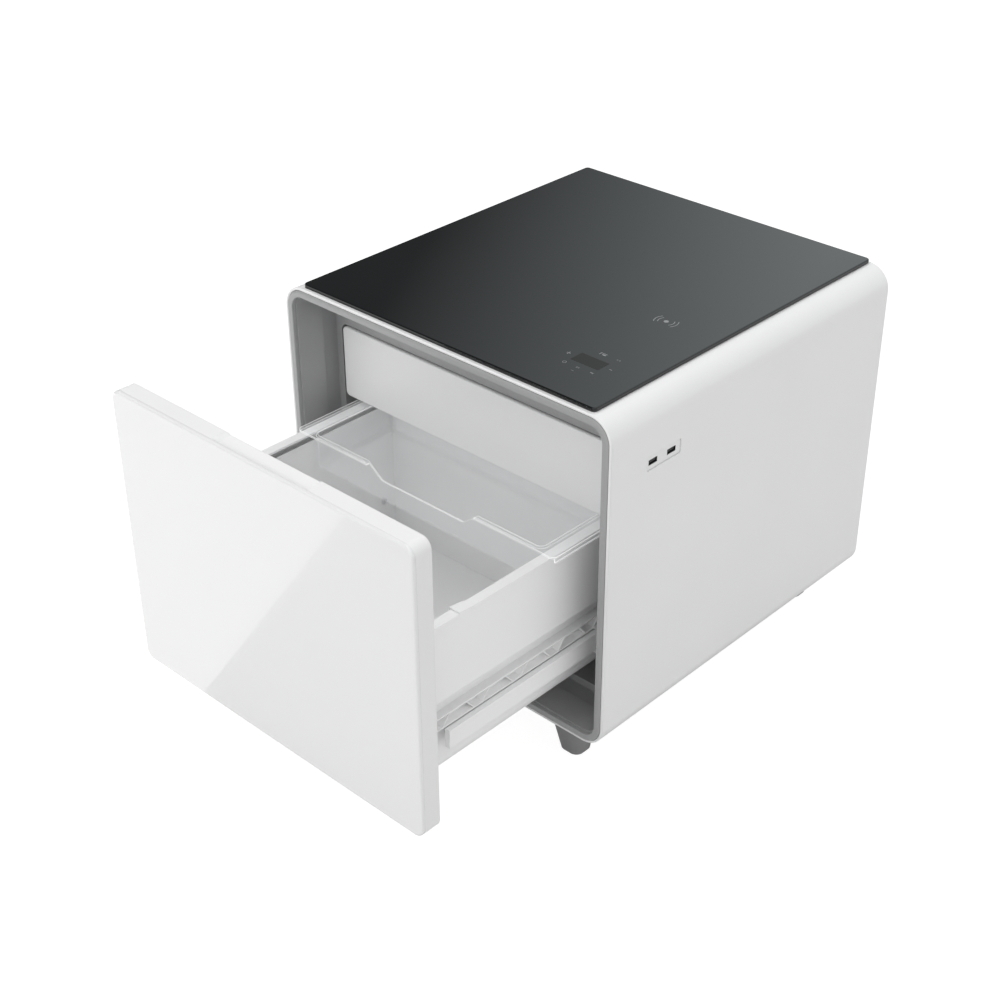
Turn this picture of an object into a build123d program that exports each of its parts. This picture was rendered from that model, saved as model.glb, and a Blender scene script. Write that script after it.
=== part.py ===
# Refrigerator coffee table: a low cabinet on four feet with a glass top, and a
# chilled drawer that slides out of its front. Millimetres, +Z up, the drawer's
# face towards -Y, and the origin on the floor under the middle of the whole
# object with its drawer open.
import math
import os

from build123d import *

os.makedirs("parts", exist_ok=True)

# Cabinet
cabinet_width = 480
shell_height = 407
shell_depth = 489
foot_height = 52
corner_radius = 28
shell_wall = 2
face_gap = 0.3
rear_flange = 14
rear_inset = 2
rear_thickness = 2

# Front frame and inner liner
frame_width = 11.2
frame_proud = 2.5
frame_bevel = 5.4
frame_bevel_depth = 2
frame_edge_radius = 0.8
frame_plate = 3
frame_lap = 12
collar_depth = 40
collar_wall = 1.8
liner_wall = 2
liner_step_depth = 61.5
liner_step = 9.4
liner_corner_radius = 9
ceiling_insulation = 66.4
rear_insulation = 22
bulkhead_thickness = 1

# Glass top and what lies under it
glass_side_inset = 26.5
glass_front_inset = 3.2
glass_back_inset = 1.3
glass_thickness = 5
glass_corner_radius = 5
glass_edge_radius = 1
tray_inset = 96
tray_front = 34
tray_length = 206
tray_width = 106
tray_drop = 8
tray_wall = 1.4
tray_flange = 6
tray_flange_thickness = 1.6
tray_corner_radius = 4
peg_radius = 3
board_width = 98
board_length = 84
board_back = 82
board_thickness = 1.6
display_offset = 0.8
display_back = 76
display_width = 37
display_length = 18.5
display_gap = 0.4
coil_rear_margin = 39
coil_radius = 22
coil_bore = 10
coil_thickness = 1.6
ferrite_size = 52
ferrite_thickness = 1.2

# Charging sockets in the right side
usb_back = 83.6
usb_drop = 71
usb_bezel_width = 55
usb_bezel_height = 17
usb_bezel_radius = 3
usb_bezel_recess = 1.2
usb_bezel_thickness = 2
usb_pitch = 29.7
usb_socket_width = 13.2
usb_socket_height = 5.7
usb_socket_depth = 7.4
usb_socket_shift = 2
usb_sheet = 0.4
usb_tongue = 1.9
usb_tongue_back = 1.2

# Door and drawer, drawn fully open
tub_kept = 75
door_side_gap = 5.6
door_top_gap = 18.4
door_bottom_gap = 21.6
door_thickness = 25.2
door_radius = 26
door_bevel = 2.6
door_panel_thickness = 4.6
door_wall = 3
door_back_skin = 2.4
grip_width = 144
grip_offset = 7
grip_front_depth = 5.5
grip_back_depth = 2
grip_slope = 6
gasket_width = 7
gasket_thickness = 2.2
gasket_inset = 10
tub_back_gap = 6.8
tub_wall = 3
tub_floor_gap = 32.4
tub_bottom_radius = 20
tub_end_radius = 8
slide_room = 27.6
rim_reach = 12.4
rim_box_gap = 4.6
rim_thickness = 2.6
skirt_drop = 91
skirt_wall = 2
flange_drop = 110
flange_spacing = 13.9
flange_thickness = 1.8
rib_margin = 42.5
rib_count = 5
rib_share = 0.42
rib_thickness = 1.6
rib_lean = 10
rib_first = 47
stop_rise = 1.9
stop_ramp = 19
stop_back = 64.2
boss_radius = 5
boss_margin = 17

# Telescopic slides
slide_drop = 138.6
slide_height = 22.8
slide_metal = 1.2
slide_channel_depth = 6.5
slide_door_gap = 40
slide_tub_gap = 5
slide_outer_front = 36
slide_back_gap = 12
ball_radius = 1.6
ball_clearance = 0.06
ball_pitch = 14
balls_per_row = 3
cage_thickness = 0.8
cage_end = 8
cage_gap = 0.9
bracket_metal = 1.5
bracket_flange = 13
bracket_front = 66
screw_radius = 2
screw_head = 4
screw_head_height = 2
screw_margin = 28

# Clear tray on the drawer's rims
clear_front = 34.3
clear_length = 132
clear_overhang = 5.3
clear_basin_gap = 3.8
clear_basin_front = 5
clear_basin_length = 121
clear_depth = 46
clear_wall = 2
clear_lip = 7
clear_radius = 10
clear_dip_depth = 16.5
clear_dip_top = 84
clear_dip_bottom = 62

# Medicine box under the ceiling of the cold room
box_clearance = 5.9
box_height = 90
box_front_proud = 4
box_front_thickness = 4
box_front_edge = 1.5
box_side_gap = 1.5
box_wall = 2.2
box_back_gap = 24.5
box_corner_radius = 6
box_rail_drop = 12
box_rail_thickness = 3
box_ceiling_gap = 0.6
runner_width = 5.4
runner_height = 4
runner_gap = 1

# Evaporator behind the cold room
evaporator_side_gap = 29.4
evaporator_drop = 177.6
evaporator_height = 110
evaporator_plate_thickness = 1.2
evaporator_tube_radius = 3
evaporator_left_margin = 45
evaporator_right_margin = 18
evaporator_tube_margin = 25
evaporator_pitch = 30
bend_relief = 0.5
stub_reach = 5
pocket_gap = 1
sensor_inset = 69.4
sensor_drop = 47.6
sensor_length = 34
sensor_width = 12
sensor_thickness = 7

# Machine room at the back
machine_room_depth = 98
base_thickness = 1.5
base_end_gap = 3
compressor_inset = 120
compressor_back = 48
compressor_radius = 42
compressor_height = 118
compressor_bottom_radius = 14
compressor_dome = 24
compressor_seam = 1.5
compressor_seam_level = 65
compressor_seam_height = 6
leg_width = 134
leg_depth = 82
leg_thickness = 2.5
mount_height = 12
mount_radius = 9
mount_neck = 5
mount_head_radius = 8
mount_head = 3
port_radius = 3.5
port_rise = 6.5
suction_x = -25
suction_y = -5
discharge_x = 30
discharge_y = 12
suction_radius = 3
discharge_radius = 2.4
condenser_offset = 85
condenser_inset = 85
condenser_floor_gap = 34.5
condenser_rows = 9
condenser_pitch = 31.25
bracket_strip = 14
strip_metal = 1.5
strip_spacing = 100
drier_inset = 68
drier_rise = 16
drier_length = 80
drier_radius = 8
capillary_radius = 1.2
fan_inset = 140
fan_drop = 129
fan_frame_half = 52
fan_frame_radius = 6
fan_bore = 48
fan_depth = 20
fan_strut = 5
fan_plate = 2
fan_motor_radius = 12
fan_motor_length = 10
fan_hub_radius = 15
fan_hub_wall = 1.6
fan_motor_gap = 0.6
fan_blades = 7
fan_tip_gap = 2
fan_shaft_radius = 2
fan_shaft_gap = 0.05
blade_width = 24
blade_root_width = 15
blade_thickness = 1.4
blade_angle = 38
blade_twist = 14
grille_slots = 9
grille_pitch = 9.6
louvre_count = 9
louvre_pitch = 17
louvre_width = 150
louvre_height = 5
louvre_reach = 5
louvre_metal = 1
louvre_inset = 165
intake_count = 5
intake_rise = 68
inlet_width = 27
inlet_height = 20
inlet_depth = 20
inlet_flange = 4
inlet_wall = 1.6
inlet_inset = 65
inlet_rise = 48
inlet_pin_length = 12
inlet_pin_width = 2
inlet_pin_height = 4
inlet_pin_spacing = 14
inlet_pin_drop = 2
inlet_pin_lift = 3
control_back = 55
control_length = 60
control_rise = 148
control_height = 90
control_standoff = 8
relay_size = 18
rear_corner = 60

# Feet
foot_inset = 72
foot_splay = 6
foot_set_back = 34
foot_top_width = 46
foot_top_length = 40
foot_bottom_size = 29
foot_top_radius = 12
foot_bottom_radius = 10
foot_lift = 1
pad_size = 15
pad_height = 3
foot_bore = 5
foot_screw_seat = 12
screw_hole_gap = 0.2
foot_screw_rise = 7

# Places that follow from the sizes
half_width = cabinet_width / 2
shell_bottom = foot_height
shell_top = foot_height + shell_height
shell_middle = shell_bottom + shell_height / 2
inner_width = cabinet_width - 2 * shell_wall - 2 * face_gap
inner_height = shell_height - 2 * shell_wall - 2 * face_gap
inner_radius = corner_radius - shell_wall - face_gap
opening_width = cabinet_width - 2 * frame_width
opening_height = shell_height - 2 * frame_width
opening_half = opening_width / 2
opening_radius = corner_radius - frame_width
rear_build_up = liner_wall + rear_insulation + bulkhead_thickness
cold_room_depth = shell_depth - rear_build_up - machine_room_depth - rear_thickness - rear_inset
tub_length = cold_room_depth - door_thickness - tub_back_gap
drawer_travel = tub_length - tub_kept
front_y = (drawer_travel - shell_depth) / 2
back_y = front_y + shell_depth
panel_back = back_y - rear_inset
panel_front = panel_back - rear_thickness
room_half = opening_half - liner_step
room_bottom = shell_bottom + frame_width + liner_step
room_top = shell_top - ceiling_insulation
room_height = room_top - room_bottom
room_middle = (room_top + room_bottom) / 2
fascia_y = front_y + liner_step_depth
room_back = front_y + cold_room_depth
box_front_y = fascia_y - box_front_proud
box_top = room_top - box_ceiling_gap
box_bottom = box_top - box_height
box_half = room_half - box_clearance
box_length = room_back - box_front_y - box_back_gap
box_rail_level = box_top - box_rail_drop
evaporator_y = room_back + liner_wall
evaporator_half = room_half - evaporator_side_gap
evaporator_bottom = room_top - evaporator_drop
evaporator_left = evaporator_left_margin - evaporator_half
evaporator_right = evaporator_half - evaporator_right_margin
evaporator_low = evaporator_bottom + evaporator_tube_margin
sensor_x = room_half - sensor_inset
sensor_height = room_top - sensor_drop
bulkhead_y = evaporator_y + rear_insulation
machine_y = bulkhead_y + bulkhead_thickness
door_width = opening_width - 2 * door_side_gap
door_height = opening_height - door_top_gap - door_bottom_gap
door_bottom = shell_bottom + frame_width + door_bottom_gap
door_front = front_y - drawer_travel
door_core = door_front + door_panel_thickness
door_back = door_front + door_thickness
door_top = door_bottom + door_height
door_middle = door_bottom + door_height / 2
tub_bottom = room_bottom + tub_floor_gap
rim_half = room_half - slide_room
rim_height = box_bottom - rim_box_gap
tub_inner_half = rim_half - rim_reach
tub_outer_half = tub_inner_half + tub_wall
flange_upper = rim_height - flange_drop
flange_lower = flange_upper - flange_spacing
rib_period = (tub_length - rib_margin) / rib_count
clear_half = rim_half + clear_overhang
clear_basin_half = tub_inner_half - clear_basin_gap
slide_centre = rim_height - slide_drop
slide_front = door_back + slide_door_gap
slide_inner_length = tub_length - slide_door_gap - slide_tub_gap
slide_face = rim_half + slide_channel_depth
slide_outer_y = front_y + slide_outer_front
slide_outer_length = cold_room_depth - slide_outer_front - slide_back_gap
ball_level = slide_height / 2 + ball_clearance + ball_radius
slide_outer_half = ball_level + ball_radius + ball_clearance + slide_metal
cage_face = slide_face + cage_gap + cage_thickness
slide_back_face = cage_face + cage_gap + slide_metal
bracket_length = slide_outer_length + slide_outer_front - bracket_front
screw_level = slide_outer_half + bracket_flange / 2
base_top = shell_bottom + shell_wall + base_thickness
leg_bottom = base_top + mount_height
can_x = compressor_inset - half_width
can_y = panel_front - compressor_back
condenser_y = can_y + discharge_y
condenser_left = can_x + condenser_offset
condenser_right = half_width - condenser_inset
condenser_low = base_top + condenser_floor_gap
condenser_top = condenser_low + (condenser_rows - 1) * condenser_pitch
strip_x = (condenser_left + condenser_right) / 2
drier_x = half_width - drier_inset
drier_low = condenser_low + drier_rise
fan_x = fan_inset - half_width
fan_height = shell_top - fan_drop
louvre_x = half_width - louvre_inset
intake_height = shell_bottom + intake_rise
inlet_x = half_width - inlet_inset
inlet_level = shell_bottom + inlet_rise
control_low = shell_bottom + control_rise
glass_width = cabinet_width - 2 * glass_side_inset
glass_depth = shell_depth - glass_front_inset - glass_back_inset
tray_x = half_width - tray_inset
tray_y = front_y + tray_front + tray_length / 2
tray_bottom = shell_top - tray_drop
display_x = tray_x + display_offset
usb_y = front_y + usb_back
usb_height = shell_top - usb_drop
coil_y = front_y + tray_front + tray_length - coil_rear_margin
foot_top_x = half_width - foot_inset
foot_bottom_x = foot_top_x + foot_splay
foot_y = (front_y + foot_set_back, back_y - foot_set_back)
foot_bore_top = foot_height - foot_screw_seat
foot_screw_top = foot_height + foot_screw_rise


def across(y):
    """A plane across the object at this Y: X to the right, Z up, facing -Y."""
    return Plane(origin=(0, y, 0), x_dir=(1, 0, 0), z_dir=(0, -1, 0))


def along(x):
    """A plane along the object at this X: Y to the right, Z up, facing +X."""
    return Plane(origin=(x, 0, 0), x_dir=(0, 1, 0), z_dir=(1, 0, 0))


def level(z):
    """A level plane at this height."""
    return Plane.XY.offset(z)


def save(part, name):
    """Label a finished piece and write it under the same name."""
    part.label = name
    export_step(part, f"parts/{name}.step")


# Outer shell: a steel wrap with rounded long edges and an inturned rear flange
with BuildPart() as outer_shell:
    with BuildSketch(across(front_y)):
        with Locations((0, shell_middle)):
            RectangleRounded(cabinet_width, shell_height, corner_radius)
            RectangleRounded(
                cabinet_width - 2 * shell_wall,
                shell_height - 2 * shell_wall,
                corner_radius - shell_wall,
                mode=Mode.SUBTRACT,
            )
    extrude(amount=-shell_depth)
    with BuildSketch(across(panel_front - shell_wall)):
        with Locations((0, shell_middle)):
            RectangleRounded(
                cabinet_width - shell_wall, shell_height - shell_wall, corner_radius - shell_wall / 2
            )
            RectangleRounded(
                cabinet_width - 2 * rear_flange,
                shell_height - 2 * rear_flange,
                corner_radius - rear_flange,
                mode=Mode.SUBTRACT,
            )
    extrude(amount=-shell_wall)
    with BuildSketch(level(shell_top)):
        with Locations((tray_x, tray_y)):
            RectangleRounded(
                tray_width + 2 * face_gap, tray_length + 2 * face_gap, tray_corner_radius + face_gap
            )
    extrude(amount=-shell_wall, mode=Mode.SUBTRACT)
    with BuildSketch(along(half_width)):
        with Locations((usb_y, usb_height)):
            RectangleRounded(usb_bezel_width, usb_bezel_height, usb_bezel_radius)
    extrude(amount=-shell_wall, mode=Mode.SUBTRACT)
    with BuildSketch(level(shell_bottom)):
        with Locations(*[(side * foot_top_x, y) for side in (-1, 1) for y in foot_y]):
            Circle(screw_radius + screw_hole_gap)
    extrude(amount=shell_wall, mode=Mode.SUBTRACT)
save(outer_shell.part, "outer_shell")

# Front frame: a bevelled ring, a lip inside the shell and a collar into the cabinet
with BuildPart() as front_frame:
    with BuildSketch(across(front_y)):
        with Locations((0, shell_middle)):
            RectangleRounded(cabinet_width, shell_height, corner_radius)
    extrude(amount=frame_proud - frame_bevel_depth)
    with BuildSketch(across(front_y - frame_proud + frame_bevel_depth)):
        with Locations((0, shell_middle)):
            RectangleRounded(cabinet_width, shell_height, corner_radius)
    with BuildSketch(across(front_y - frame_proud)):
        with Locations((0, shell_middle)):
            RectangleRounded(
                cabinet_width - 2 * frame_bevel,
                shell_height - 2 * frame_bevel,
                corner_radius - frame_bevel,
            )
    loft(ruled=True)
    with BuildSketch(across(front_y)):
        with Locations((0, shell_middle)):
            RectangleRounded(inner_width, inner_height, inner_radius)
    extrude(amount=-frame_lap)
    with BuildSketch(across(front_y + frame_plate)):
        with Locations((0, shell_middle)):
            RectangleRounded(
                inner_width - 2 * collar_wall, inner_height - 2 * collar_wall, inner_radius - collar_wall
            )
    extrude(amount=frame_plate - frame_lap, mode=Mode.SUBTRACT)
    with BuildSketch(across(front_y + frame_plate)):
        with Locations((0, shell_middle)):
            RectangleRounded(
                opening_width + 2 * collar_wall,
                opening_height + 2 * collar_wall,
                opening_radius + collar_wall,
            )
    extrude(amount=frame_plate - collar_depth)
    with BuildSketch(across(front_y - frame_proud)):
        with Locations((0, shell_middle)):
            RectangleRounded(opening_width, opening_height, opening_radius)
    extrude(amount=-frame_proud - collar_depth, mode=Mode.SUBTRACT)
    inner_loop = front_frame.faces().sort_by(Axis.Y)[0].inner_wires()[0].edges()
    fillet(inner_loop, frame_edge_radius)
save(front_frame.part, "front_frame")

# Inner liner: the same section behind the collar, a fascia, and the cold room
with BuildPart() as inner_liner:
    with BuildSketch(across(front_y + collar_depth)):
        with Locations((0, shell_middle)):
            RectangleRounded(
                opening_width + 2 * liner_wall, opening_height + 2 * liner_wall, opening_radius + liner_wall
            )
    extrude(amount=collar_depth - liner_step_depth - liner_wall)
    with BuildSketch(across(front_y + collar_depth)):
        with Locations((0, shell_middle)):
            RectangleRounded(opening_width, opening_height, opening_radius)
    extrude(amount=collar_depth - liner_step_depth, mode=Mode.SUBTRACT)
    with BuildSketch(across(fascia_y)):
        with Locations((0, room_middle)):
            RectangleRounded(
                2 * (room_half + liner_wall), room_height + 2 * liner_wall, liner_corner_radius + liner_wall
            )
    extrude(amount=liner_step_depth - cold_room_depth - liner_wall)
    with BuildSketch(across(fascia_y)):
        with Locations((0, room_middle)):
            RectangleRounded(2 * room_half, room_height, liner_corner_radius)
    extrude(amount=liner_step_depth - cold_room_depth, mode=Mode.SUBTRACT)
save(inner_liner.part, "inner_liner")

# Insulation foam between the shell and the liner
foam_front = front_y + frame_lap + face_gap
with BuildPart() as insulation_foam:
    with BuildSketch(across(foam_front)):
        with Locations((0, shell_middle)):
            RectangleRounded(inner_width, inner_height, inner_radius)
    extrude(amount=foam_front - bulkhead_y)
    with BuildSketch(across(foam_front)):
        with Locations((0, shell_middle)):
            RectangleRounded(
                opening_width + 2 * (liner_wall + face_gap),
                opening_height + 2 * (liner_wall + face_gap),
                opening_radius + liner_wall + face_gap,
            )
    extrude(amount=foam_front - fascia_y - liner_wall - face_gap, mode=Mode.SUBTRACT)
    with BuildSketch(across(fascia_y)):
        with Locations((0, room_middle)):
            RectangleRounded(
                2 * (room_half + liner_wall + face_gap),
                room_height + 2 * (liner_wall + face_gap),
                liner_corner_radius + liner_wall + face_gap,
            )
    extrude(amount=fascia_y - evaporator_y - face_gap, mode=Mode.SUBTRACT)
    with BuildSketch(across(evaporator_y)):
        with Locations((0, evaporator_bottom + evaporator_height / 2)):
            Rectangle(2 * (evaporator_half + pocket_gap), evaporator_height + 2 * pocket_gap)
    extrude(
        amount=-evaporator_plate_thickness - 2 * evaporator_tube_radius - pocket_gap, mode=Mode.SUBTRACT
    )
    with BuildSketch(across(evaporator_y)):
        with Locations(
            (evaporator_left, evaporator_low), (evaporator_right, evaporator_low + 2 * evaporator_pitch)
        ):
            Circle(evaporator_tube_radius + pocket_gap)
    extrude(amount=evaporator_y - bulkhead_y, mode=Mode.SUBTRACT)
    with BuildSketch(level(shell_top)):
        with Locations((tray_x, tray_y)):
            RectangleRounded(
                tray_width + 2 * tray_flange + 2 * face_gap,
                tray_length + 2 * tray_flange + 2 * face_gap,
                tray_corner_radius,
            )
    extrude(amount=-tray_drop - face_gap, mode=Mode.SUBTRACT)
    with BuildSketch(along(half_width)):
        with Locations((usb_y, usb_height)):
            Rectangle(usb_bezel_width + 2 * face_gap, usb_bezel_height + 2 * face_gap)
    extrude(amount=room_half - half_width + liner_wall + face_gap, mode=Mode.SUBTRACT)
    with BuildSketch(level(shell_bottom)):
        with Locations((-foot_top_x, foot_y[0]), (foot_top_x, foot_y[0])):
            Circle(screw_radius + face_gap)
    extrude(amount=foot_screw_top + face_gap - shell_bottom, mode=Mode.SUBTRACT)
save(insulation_foam.part, "insulation_foam")

# Glass top, bonded on the shell
with BuildPart() as glass_top:
    with BuildSketch(level(shell_top)):
        with Locations((0, front_y + glass_front_inset + glass_depth / 2)):
            RectangleRounded(glass_width, glass_depth, glass_corner_radius)
    extrude(amount=glass_thickness)
    fillet(glass_top.faces().sort_by(Axis.Z)[-1].edges(), glass_edge_radius)
save(glass_top.part, "glass_top")

# Electronics tray, hung in the shell's cut-out under the glass
board_top = shell_top - display_gap - coil_thickness
board_y = front_y + board_back
with BuildPart() as electronics_tray:
    with BuildSketch(level(tray_bottom)):
        with Locations((tray_x, tray_y)):
            RectangleRounded(tray_width, tray_length, tray_corner_radius)
    extrude(amount=tray_drop - face_gap)
    with BuildSketch(level(shell_top - shell_wall)):
        with Locations((tray_x, tray_y)):
            RectangleRounded(
                tray_width + 2 * tray_flange, tray_length + 2 * tray_flange, tray_corner_radius
            )
    extrude(amount=-tray_flange_thickness)
    with BuildSketch(level(tray_bottom + tray_wall)):
        with Locations((tray_x, tray_y)):
            Rectangle(tray_width - 2 * tray_wall, tray_length - 2 * tray_wall)
    extrude(amount=tray_drop, mode=Mode.SUBTRACT)
    with BuildSketch(level(tray_bottom + tray_wall)):
        with Locations((tray_x, board_y)):
            with GridLocations(board_width - 4 * peg_radius, board_length - 4 * peg_radius, 2, 2):
                Circle(peg_radius)
    extrude(amount=board_top - board_thickness - tray_bottom - tray_wall)
    with BuildSketch(level(tray_bottom + tray_wall)):
        with Locations((tray_x, coil_y)):
            Rectangle(ferrite_size, ferrite_size)
    extrude(amount=board_top - ferrite_thickness - tray_bottom - tray_wall)
save(electronics_tray.part, "electronics_tray")

# Touch board with its display, and the charging coil on its ferrite
with BuildPart() as touch_board:
    with BuildSketch(level(board_top)):
        with Locations((tray_x, board_y)):
            Rectangle(board_width, board_length)
    extrude(amount=-board_thickness)
    with BuildSketch(level(board_top)):
        with Locations((display_x, front_y + display_back)):
            Rectangle(display_width, display_length)
    extrude(amount=coil_thickness)
save(touch_board.part, "touch_board")

with BuildPart() as coil_ferrite:
    with BuildSketch(level(board_top)):
        with Locations((tray_x, coil_y)):
            Rectangle(ferrite_size, ferrite_size)
    extrude(amount=-ferrite_thickness)
save(coil_ferrite.part, "coil_ferrite")

with BuildPart() as charging_coil:
    with BuildSketch(level(board_top)):
        with Locations((tray_x, coil_y)):
            Circle(coil_radius)
            Circle(coil_bore, mode=Mode.SUBTRACT)
    extrude(amount=coil_thickness)
save(charging_coil.part, "charging_coil")

# Charging sockets: a bezel in the shell's cut-out, two sockets and their board
bezel_face = half_width - usb_bezel_recess
bezel_back = bezel_face - usb_bezel_thickness
socket_middle = usb_y - usb_socket_shift
socket_y = (socket_middle - usb_pitch / 2, socket_middle + usb_pitch / 2)
with BuildPart() as usb_bezel:
    with BuildSketch(along(bezel_face)):
        with Locations((usb_y, usb_height)):
            RectangleRounded(
                usb_bezel_width - 2 * face_gap, usb_bezel_height - 2 * face_gap, usb_bezel_radius
            )
    extrude(amount=-usb_bezel_thickness)
    with BuildSketch(along(bezel_face)):
        with Locations(*[(y, usb_height) for y in socket_y]):
            Rectangle(usb_socket_width + 2 * face_gap, usb_socket_height + 2 * face_gap)
    extrude(amount=-usb_bezel_thickness, mode=Mode.SUBTRACT)
save(usb_bezel.part, "usb_bezel")

with BuildPart() as usb_sockets:
    with BuildSketch(along(bezel_face)):
        with Locations(*[(y, usb_height) for y in socket_y]):
            Rectangle(usb_socket_width, usb_socket_height)
            Rectangle(
                usb_socket_width - 2 * usb_sheet, usb_socket_height - 2 * usb_sheet, mode=Mode.SUBTRACT
            )
    extrude(amount=-usb_socket_depth)
    with BuildSketch(along(bezel_face - usb_tongue_back)):
        with Locations(*[(y, usb_height) for y in socket_y]):
            Rectangle(usb_socket_width - 4 * usb_sheet, usb_tongue)
    extrude(amount=usb_tongue_back - usb_socket_depth)
    with BuildSketch(along(bezel_face - usb_socket_depth + usb_sheet)):
        with Locations(*[(y, usb_height) for y in socket_y]):
            Rectangle(usb_socket_width, usb_socket_height)
    extrude(amount=-usb_sheet)
save(usb_sockets.part, "usb_sockets")

usb_board_edge = opening_half + liner_wall + face_gap
with BuildPart() as usb_board:
    with BuildSketch(level(usb_height - usb_socket_height / 2)):
        with Locations(((bezel_back + usb_board_edge) / 2, usb_y)):
            Rectangle(bezel_back - usb_board_edge, usb_bezel_width - 4 * face_gap)
    extrude(amount=-board_thickness)
save(usb_board.part, "usb_board")

# Feet, each with its screw up through the shell's floor and a rubber pad
foot_names = ("left_front", "right_front", "left_rear", "right_rear")
foot_places = [(side, y) for y in foot_y for side in (-1, 1)]
for name, (side, y) in zip(foot_names, foot_places):
    with BuildPart() as foot:
        with BuildSketch(level(foot_lift)):
            with Locations((side * foot_bottom_x, y)):
                RectangleRounded(foot_bottom_size, foot_bottom_size, foot_bottom_radius)
        with BuildSketch(level(foot_height)):
            with Locations((side * foot_top_x, y)):
                RectangleRounded(foot_top_width, foot_top_length, foot_top_radius)
        loft(ruled=True)
        fillet(foot.faces().sort_by(Axis.Z)[0].edges(), foot_lift)
        with BuildSketch(level(foot_lift)):
            with Locations((side * foot_bottom_x, y)):
                Rectangle(pad_size, pad_size)
        extrude(amount=pad_height - foot_lift + face_gap, mode=Mode.SUBTRACT)
        with BuildSketch(level(pad_height)):
            with Locations((side * foot_top_x, y)):
                Circle(foot_bore)
        extrude(amount=foot_bore_top - pad_height, mode=Mode.SUBTRACT)
        with BuildSketch(level(foot_bore_top)):
            with Locations((side * foot_top_x, y)):
                Circle(screw_radius + screw_hole_gap)
        extrude(amount=foot_height - foot_bore_top, mode=Mode.SUBTRACT)
    save(foot.part, f"foot_{name}")

with BuildPart() as foot_pads:
    with BuildSketch(level(0)):
        with Locations(*[(side * foot_bottom_x, y) for side, y in foot_places]):
            Rectangle(pad_size - 2 * face_gap, pad_size - 2 * face_gap)
    extrude(amount=pad_height)
save(foot_pads.part, "foot_pads")

with BuildPart() as foot_screws:
    with BuildSketch(level(foot_bore_top)):
        with Locations(*[(side * foot_top_x, y) for side, y in foot_places]):
            Circle(screw_head)
    extrude(amount=-screw_head_height)
    with BuildSketch(level(foot_bore_top)):
        with Locations(*[(side * foot_top_x, y) for side, y in foot_places]):
            Circle(screw_radius)
    extrude(amount=foot_screw_top - foot_bore_top)
save(foot_screws.part, "foot_screws")

# Door: a glossy front panel over a moulded body with a foam core
with BuildPart() as door_front_panel:
    with BuildSketch(across(door_core)):
        with Locations((0, door_middle)):
            RectangleRounded(door_width, door_height, door_radius)
    extrude(amount=door_panel_thickness)
    fillet(door_front_panel.faces().sort_by(Axis.Y)[0].edges(), door_bevel)
save(door_front_panel.part, "door_front_panel")

grip_x = grip_offset
grip_pad = grip_front_depth + door_wall
with BuildPart() as door_body:
    with BuildSketch(across(door_core)):
        with Locations((0, door_middle)):
            RectangleRounded(door_width, door_height, door_radius)
    extrude(amount=door_core - door_back)
    with BuildSketch(across(door_core)):
        with Locations((0, door_middle)):
            RectangleRounded(door_width - 2 * door_wall, door_height - 2 * door_wall, door_radius - door_wall)
        with Locations((grip_x, door_top)):
            Rectangle(grip_width + 2 * door_wall, 2 * grip_pad, mode=Mode.SUBTRACT)
    extrude(amount=door_core - door_back + door_back_skin, mode=Mode.SUBTRACT)
    with BuildSketch(across(door_core)):
        with BuildLine():
            Polyline(
                (grip_x - grip_width / 2, door_top),
                (grip_x + grip_width / 2, door_top),
                (grip_x + grip_width / 2 - grip_slope, door_top - grip_front_depth),
                (grip_x - grip_width / 2 + grip_slope, door_top - grip_front_depth),
                close=True,
            )
        make_face()
    with BuildSketch(across(door_back)):
        with BuildLine():
            Polyline(
                (grip_x - grip_width / 2, door_top),
                (grip_x + grip_width / 2, door_top),
                (grip_x + grip_width / 2 - grip_slope, door_top - grip_back_depth),
                (grip_x - grip_width / 2 + grip_slope, door_top - grip_back_depth),
                close=True,
            )
        make_face()
    loft(ruled=True, mode=Mode.SUBTRACT)
save(door_body.part, "door_body")

with BuildPart() as door_foam:
    with BuildSketch(across(door_core + face_gap)):
        with Locations((0, door_middle)):
            RectangleRounded(
                door_width - 2 * (door_wall + face_gap),
                door_height - 2 * (door_wall + face_gap),
                door_radius - door_wall - face_gap,
            )
        with Locations((grip_x, door_top)):
            Rectangle(
                grip_width + 2 * (door_wall + face_gap), 2 * (grip_pad + face_gap), mode=Mode.SUBTRACT
            )
    extrude(amount=door_core - door_back + door_back_skin + 2 * face_gap)
save(door_foam.part, "door_foam")

with BuildPart() as door_gasket:
    with BuildSketch(across(door_back)):
        with Locations((0, door_middle)):
            RectangleRounded(
                door_width - 2 * gasket_inset, door_height - 2 * gasket_inset, door_radius - gasket_inset
            )
            RectangleRounded(
                door_width - 2 * (gasket_inset + gasket_width),
                door_height - 2 * (gasket_inset + gasket_width),
                door_radius - gasket_inset - gasket_width,
                mode=Mode.SUBTRACT,
            )
    extrude(amount=-gasket_thickness)
save(door_gasket.part, "door_gasket")

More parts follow.
